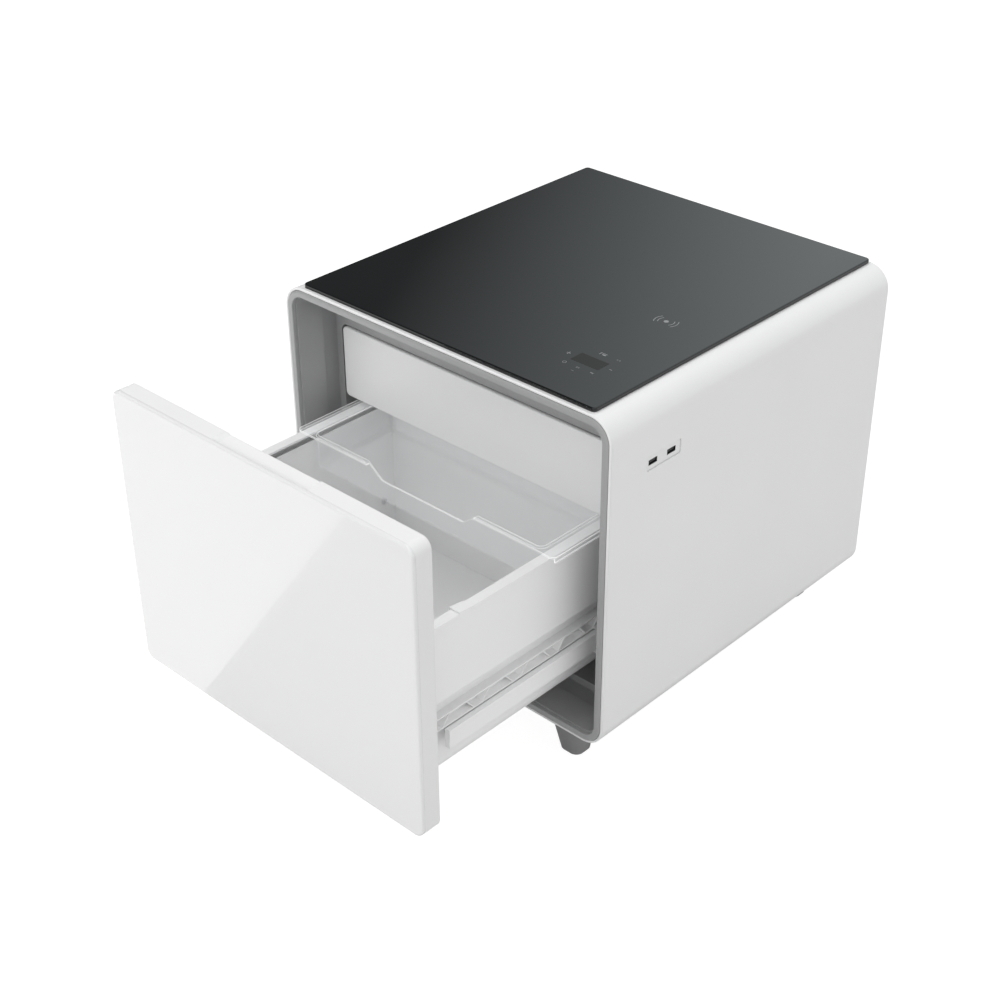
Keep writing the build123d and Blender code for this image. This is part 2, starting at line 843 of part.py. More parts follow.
# Drawer tub: walls, rim with side skirts and stops, ribbed side channels
tub_height = rim_height - tub_bottom
rib_places = [rib_first + rib_period * index for index in range(rib_count)]
boss_places = [
    slide_front + boss_margin,
    slide_front + slide_inner_length / 2,
    slide_front + slide_inner_length - boss_margin,
]
with BuildPart() as drawer_tub:
    with BuildSketch(across(door_back)) as outer_section:
        with Locations((0, tub_bottom)):
            Rectangle(2 * tub_outer_half, tub_height, align=(Align.CENTER, Align.MIN))
        fillet(outer_section.vertices().group_by(Axis.Z)[0], tub_bottom_radius)
    extrude(amount=-tub_length)
    end_edges = drawer_tub.faces().sort_by(Axis.Y)[-1].edges()
    fillet(end_edges.sort_by(Axis.Z)[:-1], tub_end_radius)
    with BuildSketch(across(door_back + tub_wall)) as inner_section:
        with Locations((0, tub_bottom + tub_wall)):
            Rectangle(2 * tub_inner_half, tub_height, align=(Align.CENTER, Align.MIN))
        fillet(inner_section.vertices().group_by(Axis.Z)[0], tub_bottom_radius - tub_wall)
    extrude(amount=2 * tub_wall - tub_length, mode=Mode.SUBTRACT)
    with BuildSketch(level(rim_height)):
        with Locations((0, door_back + tub_length / 2)):
            Rectangle(2 * rim_half, tub_length)
            Rectangle(2 * tub_inner_half, tub_length - 2 * tub_wall, mode=Mode.SUBTRACT)
    extrude(amount=-rim_thickness)
    with BuildSketch(across(door_back)):
        for side in (-1, 1):
            with Locations((side * (rim_half - skirt_wall / 2), rim_height - skirt_drop / 2)):
                Rectangle(skirt_wall, skirt_drop)
            with Locations(
                (side * (tub_outer_half + rim_half) / 2, flange_upper - flange_thickness / 2),
                (side * (tub_outer_half + rim_half) / 2, flange_lower - flange_thickness / 2),
            ):
                Rectangle(rim_half - tub_outer_half, flange_thickness)
    extrude(amount=-tub_length)
    for side in (-1, 1):
        with BuildSketch(along(side * tub_outer_half)):
            for start in rib_places:
                for place, lean in ((start, rib_lean), (start + rib_period * rib_share, -rib_lean)):
                    with BuildLine():
                        Polyline(
                            (door_back + place, flange_upper - flange_thickness),
                            (door_back + place + rib_thickness, flange_upper - flange_thickness),
                            (door_back + place + rib_thickness - lean, flange_lower),
                            (door_back + place - lean, flange_lower),
                            close=True,
                        )
                    make_face()
        extrude(amount=side * (rim_half - tub_outer_half))
        with BuildSketch(along(side * tub_outer_half)):
            with Locations(*[(y, slide_centre) for y in boss_places]):
                Circle(screw_radius + screw_hole_gap)
        extrude(amount=-side * tub_wall, mode=Mode.SUBTRACT)
        with BuildSketch(along(side * (tub_inner_half - stop_rise))):
            with BuildLine():
                Polyline(
                    (door_back + stop_back, rim_height - rim_thickness),
                    (door_back + stop_back, rim_height + stop_rise),
                    (door_back + stop_back + stop_ramp, rim_height),
                    (door_back + stop_back + stop_ramp, rim_height - rim_thickness),
                    close=True,
                )
            make_face()
        extrude(amount=side * (rim_half - tub_inner_half + stop_rise))
save(drawer_tub.part, "drawer_tub")

with BuildPart() as drawer_screws:
    for side in (-1, 1):
        with BuildSketch(along(side * tub_inner_half)):
            with Locations(*[(y, slide_centre) for y in boss_places]):
                Circle(screw_head)
        extrude(amount=-side * screw_head_height)
        with BuildSketch(along(side * tub_inner_half)):
            with Locations(*[(y, slide_centre) for y in boss_places]):
                Circle(screw_radius)
        extrude(amount=side * (slide_face - slide_metal - face_gap - tub_inner_half))
save(drawer_screws.part, "drawer_screws")

# Telescopic slides: drawer channel, cabinet channel, caged balls and a bracket
for side, hand in ((-1, "left"), (1, "right")):
    with BuildPart() as slide_inner:
        with BuildSketch(across(slide_front)):
            with Locations((side * (rim_half + slide_channel_depth / 2), slide_centre)):
                Rectangle(slide_channel_depth, slide_height)
            with Locations((side * (rim_half + slide_channel_depth / 2 - slide_metal), slide_centre)):
                Rectangle(slide_channel_depth, slide_height - 2 * slide_metal, mode=Mode.SUBTRACT)
        extrude(amount=-slide_inner_length)
        with BuildSketch(across(slide_front)):
            with Locations((side * (rim_half + slide_channel_depth / 2), slide_centre)):
                Rectangle(slide_channel_depth, slide_height)
        extrude(amount=-slide_metal)
        web_face = slide_inner.faces().filter_by(Axis.X).sort_by(Axis.X)[-1 if side > 0 else 0]
        fillet(web_face.edges().filter_by(Axis.Y), slide_metal / 2)
        with BuildSketch(along(side * tub_outer_half)):
            with Locations(*[(y, slide_centre) for y in boss_places]):
                Circle(boss_radius)
        extrude(amount=side * (slide_face - slide_metal / 2 - tub_outer_half))
        with BuildSketch(along(side * tub_outer_half)):
            with Locations(*[(y, slide_centre) for y in boss_places]):
                Circle(screw_radius + screw_hole_gap)
        extrude(amount=side * (slide_face - slide_metal - tub_outer_half), mode=Mode.SUBTRACT)
    save(slide_inner.part, f"slide_inner_{hand}")

    with BuildPart() as slide_outer:
        depth = slide_back_face - rim_half
        with BuildSketch(across(slide_outer_y)):
            with Locations((side * (rim_half + depth / 2), slide_centre)):
                Rectangle(depth, 2 * slide_outer_half)
            with Locations((side * (rim_half + depth / 2 - slide_metal), slide_centre)):
                Rectangle(depth, 2 * (slide_outer_half - slide_metal), mode=Mode.SUBTRACT)
        extrude(amount=-slide_outer_length)
        back_face = slide_outer.faces().filter_by(Axis.X).sort_by(Axis.X)[-1 if side > 0 else 0]
        fillet(back_face.edges().filter_by(Axis.Y), slide_metal / 2)
    save(slide_outer.part, f"slide_outer_{hand}")

    cage_length = (balls_per_row - 1) * ball_pitch + 2 * cage_end
    overlap_end = slide_front + slide_inner_length
    cage_y = (slide_outer_y + overlap_end - cage_length) / 2
    ball_x = rim_half + slide_channel_depth / 2
    ball_places = [cage_y + cage_end + ball_pitch * index for index in range(balls_per_row)]
    with BuildPart() as ball_cage:
        with BuildSketch(across(cage_y)):
            with Locations(
                (side * (rim_half + cage_face) / 2, slide_centre + ball_level),
                (side * (rim_half + cage_face) / 2, slide_centre - ball_level),
            ):
                Rectangle(cage_face - rim_half, cage_thickness)
            with Locations((side * (cage_face - cage_thickness / 2), slide_centre)):
                Rectangle(cage_thickness, 2 * ball_level)
        extrude(amount=-cage_length)
        with BuildSketch(level(slide_centre - ball_level - cage_thickness)):
            with Locations(*[(side * ball_x, y) for y in ball_places]):
                Circle(ball_radius + ball_clearance)
        extrude(amount=2 * (ball_level + cage_thickness), mode=Mode.SUBTRACT)
    save(ball_cage.part, f"ball_cage_{hand}")

    with BuildPart() as slide_balls:
        for y in ball_places:
            with Locations(
                (side * ball_x, y, slide_centre + ball_level), (side * ball_x, y, slide_centre - ball_level)
            ):
                Sphere(ball_radius)
    save(slide_balls.part, f"slide_balls_{hand}")

    plate_x = slide_back_face + bracket_metal
    with BuildPart() as slide_bracket:
        with BuildSketch(across(front_y + bracket_front)):
            with BuildLine():
                Polyline(
                    (side * room_half, slide_centre + slide_outer_half + bracket_flange),
                    (side * room_half, slide_centre + slide_outer_half),
                    (side * plate_x, slide_centre + slide_outer_half - bracket_metal),
                    (side * plate_x, slide_centre - slide_outer_half + bracket_metal),
                    (side * room_half, slide_centre - slide_outer_half),
                    (side * room_half, slide_centre - slide_outer_half - bracket_flange),
                )
                offset(amount=bracket_metal, side=Side.RIGHT if side > 0 else Side.LEFT)
            make_face()
        extrude(amount=-bracket_length)
    save(slide_bracket.part, f"slide_bracket_{hand}")

bracket_screw_places = [
    (front_y + bracket_front + place, slide_centre + level_side * screw_level)
    for place in (screw_margin, bracket_length - screw_margin)
    for level_side in (-1, 1)
]
with BuildPart() as bracket_screws:
    for side in (-1, 1):
        with BuildSketch(along(side * (room_half - bracket_metal))):
            with Locations(*bracket_screw_places):
                Circle(screw_head)
        extrude(amount=-side * screw_head_height)
save(bracket_screws.part, "bracket_screws")

# Clear tray: a basin with a dipped front, hung by its rim over the drawer's rims
clear_y = front_y - clear_front
clear_top = rim_height + face_gap + clear_wall
basin_y = clear_y + clear_basin_front
with BuildPart() as clear_tray:
    with BuildSketch(level(clear_top)):
        with Locations((0, clear_y + clear_length / 2)):
            RectangleRounded(2 * clear_half, clear_length, clear_lip)
    extrude(amount=-clear_wall)
    with BuildSketch(level(clear_top)):
        with Locations((0, clear_y + clear_length / 2)):
            RectangleRounded(2 * clear_half, clear_length, clear_lip)
        with Locations((0, clear_y + clear_length / 2)):
            Rectangle(2 * (clear_half - clear_wall), clear_length + clear_lip, mode=Mode.SUBTRACT)
    extrude(amount=-clear_lip)
    with BuildSketch(level(clear_top)):
        with Locations((0, basin_y + clear_basin_length / 2)):
            RectangleRounded(2 * clear_basin_half, clear_basin_length, clear_radius)
    extrude(amount=-clear_depth)
    with BuildSketch(level(clear_top - clear_depth + clear_wall)):
        with Locations((0, basin_y + clear_basin_length / 2)):
            RectangleRounded(
                2 * (clear_basin_half - clear_wall),
                clear_basin_length - 2 * clear_wall,
                clear_radius - clear_wall,
            )
    extrude(amount=clear_depth, mode=Mode.SUBTRACT)
    floor_loop = clear_tray.faces().filter_by(Axis.Z).group_by(Axis.Z)[1].sort_by(SortBy.AREA)[-1]
    fillet(floor_loop.outer_wire().edges(), clear_radius - 2 * clear_wall)
    fillet(clear_tray.faces().sort_by(Axis.Z)[0].edges(), clear_radius - clear_wall)
    with BuildSketch(across(clear_y)):
        with BuildLine():
            Polyline(
                (-clear_dip_top, clear_top),
                (-clear_dip_bottom, clear_top - clear_dip_depth),
                (clear_dip_bottom, clear_top - clear_dip_depth),
                (clear_dip_top, clear_top),
                close=True,
            )
        make_face()
    extrude(amount=-clear_basin_front - clear_wall, mode=Mode.SUBTRACT)
save(clear_tray.part, "clear_tray")

# Medicine box: an open box on side rails, with a glossy front
body_half = box_half - box_side_gap
body_y = box_front_y + box_front_thickness
rail_half = room_half - runner_gap
rail_length = box_length - 4 * box_corner_radius
rail_y = body_y + box_length / 2
with BuildPart() as medicine_box_front:
    with BuildSketch(across(body_y)):
        with Locations((0, box_bottom + box_height / 2)):
            RectangleRounded(2 * box_half, box_height, box_corner_radius)
    extrude(amount=box_front_thickness)
    fillet(medicine_box_front.faces().sort_by(Axis.Y)[0].edges(), box_front_edge)
save(medicine_box_front.part, "medicine_box_front")

with BuildPart() as medicine_box:
    with BuildSketch(across(body_y)):
        with Locations((0, box_bottom + box_height / 2)):
            RectangleRounded(2 * body_half, box_height - 2 * box_side_gap, box_corner_radius - box_side_gap)
    extrude(amount=box_front_thickness - box_length)
    with BuildSketch(across(body_y + box_wall)) as box_inner:
        with Locations((0, box_bottom + box_side_gap + box_wall)):
            Rectangle(2 * (body_half - box_wall), box_height, align=(Align.CENTER, Align.MIN))
        fillet(box_inner.vertices().group_by(Axis.Z)[0], box_corner_radius)
    extrude(amount=box_front_thickness - box_length + 2 * box_wall, mode=Mode.SUBTRACT)
    with BuildSketch(level(box_rail_level)):
        for side in (-1, 1):
            with Locations((side * (rail_half + body_half - box_wall) / 2, rail_y)):
                Rectangle(rail_half - body_half + box_wall, rail_length)
    extrude(amount=box_rail_thickness)
    with BuildSketch(level(box_rail_level)):
        with Locations((0, rail_y)):
            Rectangle(2 * (body_half - box_wall), rail_length)
    extrude(amount=box_rail_thickness, mode=Mode.SUBTRACT)
save(medicine_box.part, "medicine_box")

for side, hand in ((-1, "left"), (1, "right")):
    with BuildPart() as box_runner:
        with BuildSketch(across(fascia_y + liner_wall)):
            with Locations(
                (side * (room_half - runner_width / 2), box_rail_level - face_gap - runner_height / 2)
            ):
                Rectangle(runner_width, runner_height)
        extrude(amount=-box_length)
    save(box_runner.part, f"box_runner_{hand}")

# Evaporator: a plate on the back of the liner and the tube wound on it
tube_y = evaporator_y + evaporator_plate_thickness + evaporator_tube_radius
stub_y = machine_y + stub_reach
with BuildPart() as evaporator_plate:
    with BuildSketch(across(evaporator_y)):
        with Locations((0, evaporator_bottom + evaporator_height / 2)):
            Rectangle(2 * evaporator_half, evaporator_height)
    extrude(amount=-evaporator_plate_thickness)
save(evaporator_plate.part, "evaporator_plate")

row_levels = [evaporator_low + evaporator_pitch * row for row in range(3)]
bend = evaporator_pitch / 2 - bend_relief
with BuildPart() as evaporator_tube:
    with BuildLine() as evaporator_path:
        FilletPolyline(
            (evaporator_left, stub_y, row_levels[0]),
            (evaporator_left, tube_y, row_levels[0]),
            (evaporator_right, tube_y, row_levels[0]),
            (evaporator_right, tube_y, row_levels[1]),
            (evaporator_left, tube_y, row_levels[1]),
            (evaporator_left, tube_y, row_levels[2]),
            (evaporator_right, tube_y, row_levels[2]),
            (evaporator_right, stub_y, row_levels[2]),
            radius=[2 * evaporator_tube_radius, bend, bend, bend, bend, 2 * evaporator_tube_radius],
        )
    with BuildSketch(across(stub_y)):
        with Locations((evaporator_left, row_levels[0])):
            Circle(evaporator_tube_radius)
    sweep(path=evaporator_path.line)
save(evaporator_tube.part, "evaporator_tube")

# Temperature sensor on the back wall of the cold room
with BuildPart() as temperature_sensor:
    with BuildSketch(across(room_back)):
        with Locations((sensor_x, sensor_height)):
            SlotOverall(sensor_length, sensor_width)
    extrude(amount=sensor_thickness)
    fillet(temperature_sensor.faces().sort_by(Axis.Y)[0].edges(), sensor_thickness / 2)
save(temperature_sensor.part, "temperature_sensor")

# Bulkhead behind the foam and the floor of the machine room
with BuildPart() as bulkhead:
    with BuildSketch(across(bulkhead_y)):
        with Locations((0, shell_middle)):
            RectangleRounded(inner_width, inner_height, inner_radius)
        with Locations((evaporator_left, row_levels[0]), (evaporator_right, row_levels[2])):
            Circle(evaporator_tube_radius + face_gap, mode=Mode.SUBTRACT)
    extrude(amount=-bulkhead_thickness)
save(bulkhead.part, "bulkhead")

base_front = machine_y + face_gap
base_back = panel_front - shell_wall - base_end_gap
mount_places = [
    (can_x + side * (leg_width / 2 - mount_radius), can_y + end * (leg_depth / 2 - mount_radius))
    for side in (-1, 1)
    for end in (-1, 1)
]
with BuildPart() as base_plate:
    with BuildSketch(level(shell_bottom + shell_wall)):
        with Locations((0, (base_front + base_back) / 2)):
            Rectangle(cabinet_width - 2 * corner_radius, base_back - base_front)
        with Locations((-foot_top_x, foot_y[1]), (foot_top_x, foot_y[1])):
            Circle(screw_radius + screw_hole_gap, mode=Mode.SUBTRACT)
    extrude(amount=base_thickness)
    with BuildSketch(level(base_top)):
        with Locations(*mount_places):
            Circle(screw_radius)
    extrude(amount=mount_height + leg_thickness + mount_head)
save(base_plate.part, "base_plate")

# Compressor: a domed can with a welded seam, legs and three pipe stubs
dome_top = leg_bottom + compressor_height
seam_bottom = leg_bottom + compressor_seam_level
seam_top = seam_bottom + compressor_seam_height
port_top = dome_top + port_rise
suction_place = (can_x + suction_x, can_y + suction_y)
discharge_place = (can_x + discharge_x, can_y + discharge_y)
with BuildPart() as compressor:
    with BuildSketch(Plane(origin=(can_x, can_y, 0), x_dir=(1, 0, 0), z_dir=(0, -1, 0))):
        with BuildLine():
            Line((0, leg_bottom), (compressor_radius - compressor_bottom_radius, leg_bottom))
            TangentArc(
                (compressor_radius - compressor_bottom_radius, leg_bottom),
                (compressor_radius - compressor_seam, leg_bottom + compressor_bottom_radius),
                tangent=(1, 0.001),
            )
            Polyline(
                (compressor_radius - compressor_seam, leg_bottom + compressor_bottom_radius),
                (compressor_radius - compressor_seam, seam_bottom),
                (compressor_radius, seam_bottom),
                (compressor_radius, seam_top),
                (compressor_radius - 2 * compressor_seam, seam_top),
                (compressor_radius - 2 * compressor_seam, dome_top - compressor_dome),
            )
            EllipticalCenterArc(
                (0, dome_top - compressor_dome),
                compressor_radius - 2 * compressor_seam,
                compressor_dome,
                start_angle=0,
                arc_size=90,
            )
            Line((0, dome_top), (0, leg_bottom))
        make_face()
    revolve(axis=Axis((can_x, can_y, 0), (0, 0, 1)))
    with BuildSketch(level(leg_bottom)):
        with Locations((can_x, can_y)):
            RectangleRounded(leg_width, leg_depth, mount_radius)
        with Locations(*mount_places):
            Circle(mount_neck + face_gap, mode=Mode.SUBTRACT)
    extrude(amount=leg_thickness)
    with BuildSketch(level(port_top)):
        with Locations(suction_place, discharge_place):
            Circle(port_radius)
    extrude(amount=dome_top - compressor_dome - port_top)
save(compressor.part, "compressor")

with BuildPart() as compressor_mounts:
    with BuildSketch(level(base_top)):
        with Locations(*mount_places):
            Circle(mount_radius)
    extrude(amount=mount_height)
    with BuildSketch(level(leg_bottom)):
        with Locations(*mount_places):
            Circle(mount_neck)
    extrude(amount=leg_thickness)
    with BuildSketch(level(leg_bottom + leg_thickness)):
        with Locations(*mount_places):
            Circle(mount_head_radius)
    extrude(amount=mount_head)
    with BuildSketch(level(base_top)):
        with Locations(*mount_places):
            Circle(screw_radius + face_gap)
    extrude(amount=mount_height + leg_thickness + mount_head, mode=Mode.SUBTRACT)
save(compressor_mounts.part, "compressor_mounts")

# Pipes: suction and discharge lines, condenser coil, drier and capillary
with BuildPart() as suction_line:
    with BuildLine() as suction_path:
        FilletPolyline(
            (*suction_place, port_top),
            (*suction_place, row_levels[0]),
            (suction_place[0], stub_y, row_levels[0]),
            radius=min(4 * suction_radius, 0.8 * (row_levels[0] - port_top)),
        )
    with BuildSketch(level(port_top)):
        with Locations(suction_place):
            Circle(suction_radius)
    sweep(path=suction_path.line)
save(suction_line.part, "suction_line")

with BuildPart() as discharge_line:
    with BuildLine() as discharge_path:
        FilletPolyline(
            (*discharge_place, port_top),
            (*discharge_place, condenser_top),
            (condenser_left - condenser_pitch, condenser_y, condenser_top),
            radius=5 * discharge_radius,
        )
    with BuildSketch(level(port_top)):
        with Locations(discharge_place):
            Circle(discharge_radius)
    sweep(path=discharge_path.line)
save(discharge_line.part, "discharge_line")

coil_points = [(condenser_left - condenser_pitch, condenser_y, condenser_top)]
for row in range(condenser_rows):
    height = condenser_top - row * condenser_pitch
    ends = (condenser_left, condenser_right) if row % 2 == 0 else (condenser_right, condenser_left)
    if row > 0:
        coil_points.append((ends[0], condenser_y, height))
    if row < condenser_rows - 1:
        coil_points.append((ends[1], condenser_y, height))
coil_points.append((drier_x, condenser_y, condenser_low))
coil_points.append((drier_x, condenser_y, drier_low))
coil_bends = [condenser_pitch / 2 - bend_relief] * (len(coil_points) - 3) + [2.5 * discharge_radius]
with BuildPart() as condenser_coil:
    with BuildLine() as coil_path:
        FilletPolyline(*coil_points, radius=coil_bends)
    with BuildSketch(along(coil_points[0][0])):
        with Locations((condenser_y, condenser_top)):
            Circle(discharge_radius)
    sweep(path=coil_path.line)
save(condenser_coil.part, "condenser_coil")

strip_bottom = condenser_low - 2 * discharge_radius
strip_back = condenser_y - discharge_radius
with BuildPart() as condenser_brackets:
    with BuildSketch(level(strip_bottom)):
        with Locations((strip_x - strip_spacing / 2, 0), (strip_x + strip_spacing / 2, 0)):
            with Locations((bracket_strip / 2, machine_y + strip_metal / 2)):
                Rectangle(bracket_strip, strip_metal)
            with Locations((0, (machine_y + strip_back) / 2)):
                Rectangle(strip_metal, strip_back - machine_y)
            with Locations((-bracket_strip / 2, strip_back - strip_metal / 2)):
                Rectangle(bracket_strip, strip_metal)
    extrude(amount=condenser_top + 2 * discharge_radius - strip_bottom)
save(condenser_brackets.part, "condenser_brackets")

with BuildPart() as filter_drier:
    with BuildSketch(Plane(origin=(drier_x, condenser_y, 0), x_dir=(1, 0, 0), z_dir=(0, -1, 0))):
        with BuildLine():
            Polyline(
                (0, drier_low),
                (discharge_radius, drier_low),
                (drier_radius, drier_low + drier_radius),
                (drier_radius, drier_low + drier_length - drier_radius),
                (discharge_radius, drier_low + drier_length),
                (0, drier_low + drier_length),
                close=True,
            )
        make_face()
    revolve(axis=Axis((drier_x, condenser_y, 0), (0, 0, 1)))
save(filter_drier.part, "filter_drier")

with BuildPart() as capillary_tube:
    with BuildLine() as capillary_path:
        FilletPolyline(
            (drier_x, condenser_y, drier_low + drier_length),
            (drier_x, condenser_y, row_levels[2]),
            (evaporator_right, stub_y, row_levels[2]),
            radius=8 * capillary_radius,
        )
    with BuildSketch(level(drier_low + drier_length)):
        with Locations((drier_x, condenser_y)):
            Circle(capillary_radius)
    sweep(path=capillary_path.line)
save(capillary_tube.part, "capillary_tube")

# Condenser fan: a frame on the rear panel, its motor, and a bladed rotor
fan_back = panel_front
fan_front = fan_back - fan_depth
fan_axis = Axis((fan_x, fan_front, fan_height), (0, 1, 0))
motor_front = fan_back - fan_plate - fan_motor_length
with BuildPart() as fan_frame:
    with BuildSketch(across(fan_back)):
        with Locations((fan_x, fan_height)):
            RectangleRounded(2 * fan_frame_half, 2 * fan_frame_half, fan_frame_radius)
            Circle(fan_bore, mode=Mode.SUBTRACT)
    extrude(amount=fan_depth)
    with BuildSketch(across(fan_back)):
        with Locations((fan_x, fan_height)):
            Circle(fan_motor_radius + fan_plate)
            with PolarLocations(0, 3):
                Rectangle(fan_bore + fan_plate / 2, fan_strut, align=(Align.MIN, Align.CENTER))
    extrude(amount=fan_plate)
save(fan_frame.part, "fan_frame")

with BuildPart() as fan_motor:
    with BuildSketch(across(fan_back - fan_plate)):
        with Locations((fan_x, fan_height)):
            Circle(fan_motor_radius)
            Circle(fan_shaft_radius + fan_shaft_gap, mode=Mode.SUBTRACT)
    extrude(amount=fan_motor_length)
save(fan_motor.part, "fan_motor")

hub_inner = fan_motor_radius + fan_motor_gap
cup_front = motor_front - fan_motor_gap - fan_hub_wall
blade_root = fan_hub_radius - fan_hub_wall
blade_span = fan_bore - fan_tip_gap - blade_root
with BuildPart() as fan_rotor:
    with BuildSketch(across(fan_back - fan_plate - fan_motor_gap)):
        with Locations((fan_x, fan_height)):
            Circle(fan_hub_radius)
    extrude(amount=fan_back - fan_plate - fan_motor_gap - cup_front)
    with BuildSketch(across(fan_back - fan_plate - fan_motor_gap)):
        with Locations((fan_x, fan_height)):
            Circle(hub_inner)
    extrude(amount=fan_motor_length, mode=Mode.SUBTRACT)
    with BuildSketch(across(cup_front)):
        with Locations((fan_x, fan_height)):
            Circle(fan_shaft_radius)
    extrude(amount=cup_front - fan_back + fan_plate + face_gap)
    blade_root_plane = Plane(
        origin=(fan_x, (fan_front + fan_back - fan_plate) / 2, fan_height + blade_root),
        x_dir=(1, 0, 0),
        z_dir=(0, 0, 1),
    )
    for index in range(fan_blades):
        turn = 360 / fan_blades * index
        root_plane = blade_root_plane.rotated((0, 0, blade_angle))
        tip_plane = blade_root_plane.offset(blade_span).rotated((0, 0, blade_angle - blade_twist))
        with BuildSketch(root_plane):
            SlotOverall(blade_root_width, blade_thickness)
        with BuildSketch(tip_plane):
            SlotOverall(blade_width, blade_thickness)
        blade = loft(mode=Mode.PRIVATE)
        add(blade.rotate(fan_axis, turn))
save(fan_rotor.part, "fan_rotor")

# Rear panel: punched fan grille, louvres pressed inwards, intake louvres, screws
rear_screw_places = [
    (side * (half_width - shell_wall - rear_flange / 2), height)
    for side in (-1, 1)
    for height in (shell_bottom + rear_corner, shell_middle, shell_top - rear_corner)
]
grille_levels = [
    fan_height + grille_pitch * (index - (grille_slots - 1) / 2) for index in range(grille_slots)
]
louvre_levels = [
    (louvre_x, fan_height + louvre_pitch * (index - (louvre_count - 1) / 2))
    for index in range(louvre_count)
]
intake_levels = [
    (fan_x, intake_height + louvre_pitch * (index - (intake_count - 1) / 2))
    for index in range(intake_count)
]
with BuildPart() as rear_panel:
    with BuildSketch(across(panel_front)):
        with Locations((0, shell_middle)):
            RectangleRounded(inner_width, inner_height, inner_radius)
        for height in grille_levels:
            reach = math.sqrt((fan_bore - fan_tip_gap) ** 2 - (height - fan_height) ** 2)
            with Locations((fan_x, height)):
                SlotOverall(2 * reach, louvre_height, mode=Mode.SUBTRACT)
        with Locations(*louvre_levels, *intake_levels):
            Rectangle(louvre_width, louvre_height, mode=Mode.SUBTRACT)
        with Locations(*rear_screw_places):
            Circle(screw_radius + screw_hole_gap, mode=Mode.SUBTRACT)
        with Locations((inlet_x, inlet_level)):
            Rectangle(inlet_width + 2 * face_gap, inlet_height + 2 * face_gap, mode=Mode.SUBTRACT)
    extrude(amount=-rear_thickness)
    for place, height in louvre_levels + intake_levels:
        with BuildSketch(along(place - louvre_width / 2)):
            with BuildLine():
                Polyline(
                    (panel_front, height + louvre_height / 2),
                    (panel_front - louvre_reach, height - louvre_height / 2),
                    (panel_front - louvre_reach, height - louvre_height / 2 - louvre_metal),
                    (panel_front + louvre_metal, height + louvre_height / 2),
                    (panel_front + louvre_metal, height + louvre_height / 2 + louvre_metal),
                    (panel_front, height + louvre_height / 2 + louvre_metal),
                    close=True,
                )
            make_face()
        extrude(amount=louvre_width)
save(rear_panel.part, "rear_panel")

with BuildPart() as rear_screws:
    with BuildSketch(across(panel_back)):
        with Locations(*rear_screw_places):
            Circle(screw_head)
    extrude(amount=-rear_inset)
    with BuildSketch(across(panel_back)):
        with Locations(*rear_screw_places):
            Circle(screw_radius)
    extrude(amount=rear_thickness - face_gap)
save(rear_screws.part, "rear_screws")

# Power inlet with three pins
with BuildPart() as power_inlet:
    with BuildSketch(across(panel_back)):
        with Locations((inlet_x, inlet_level)):
            Rectangle(inlet_width + 2 * inlet_flange, inlet_height + 2 * inlet_flange)
    extrude(amount=-rear_inset)
    with BuildSketch(across(panel_back)):
        with Locations((inlet_x, inlet_level)):
            Rectangle(inlet_width, inlet_height)
    extrude(amount=inlet_depth)
    with BuildSketch(across(back_y)):
        with Locations((inlet_x, inlet_level)):
            Rectangle(inlet_width - 2 * inlet_wall, inlet_height - 2 * inlet_wall)
    extrude(amount=inlet_depth, mode=Mode.SUBTRACT)
    with BuildSketch(across(back_y - inlet_depth)):
        with Locations(
            (inlet_x - inlet_pin_spacing / 2, inlet_level - inlet_pin_drop),
            (inlet_x + inlet_pin_spacing / 2, inlet_level - inlet_pin_drop),
            (inlet_x, inlet_level + inlet_pin_lift),
        ):
            Rectangle(inlet_pin_width, inlet_pin_height)
    extrude(amount=-inlet_pin_length)
save(power_inlet.part, "power_inlet")

# Control board on its standoffs, on the side wall of the machine room
wall_x = half_width - shell_wall
board_face = wall_x - control_standoff
control_middle = (panel_front - control_back, control_low + control_height / 2)
with BuildPart() as control_board:
    with BuildSketch(along(board_face)):
        with Locations(control_middle):
            Rectangle(control_length, control_height)
    extrude(amount=-board_thickness)
    with BuildSketch(along(board_face)):
        with Locations(control_middle):
            with GridLocations(control_length - 3 * peg_radius, control_height - 3 * peg_radius, 2, 2):
                Circle(peg_radius)
    extrude(amount=control_standoff - face_gap)
    with BuildSketch(along(board_face - board_thickness)):
        with Locations(control_middle):
            with Locations((-relay_size * 0.7, -relay_size)):
                Circle(relay_size / 2)
            with Locations((relay_size * 0.6, relay_size)):
                Rectangle(relay_size, relay_size)
    extrude(amount=-relay_size)
save(control_board.part, "control_board")
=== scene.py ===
import math

import bmesh
import bpy
from mathutils import Matrix, Vector


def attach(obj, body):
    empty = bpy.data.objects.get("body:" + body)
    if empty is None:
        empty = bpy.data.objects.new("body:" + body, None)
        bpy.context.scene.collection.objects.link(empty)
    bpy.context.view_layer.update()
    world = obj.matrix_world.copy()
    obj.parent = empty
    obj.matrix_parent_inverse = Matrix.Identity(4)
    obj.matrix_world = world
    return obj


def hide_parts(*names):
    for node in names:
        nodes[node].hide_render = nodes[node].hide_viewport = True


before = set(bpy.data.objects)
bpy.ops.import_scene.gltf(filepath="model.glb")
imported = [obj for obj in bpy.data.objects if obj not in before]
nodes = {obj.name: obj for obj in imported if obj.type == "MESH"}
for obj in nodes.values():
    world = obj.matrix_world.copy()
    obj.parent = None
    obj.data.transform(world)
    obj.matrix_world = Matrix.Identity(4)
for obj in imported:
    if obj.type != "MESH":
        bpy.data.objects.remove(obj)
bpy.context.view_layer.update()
bpy.context.scene.view_settings.view_transform = "Standard"

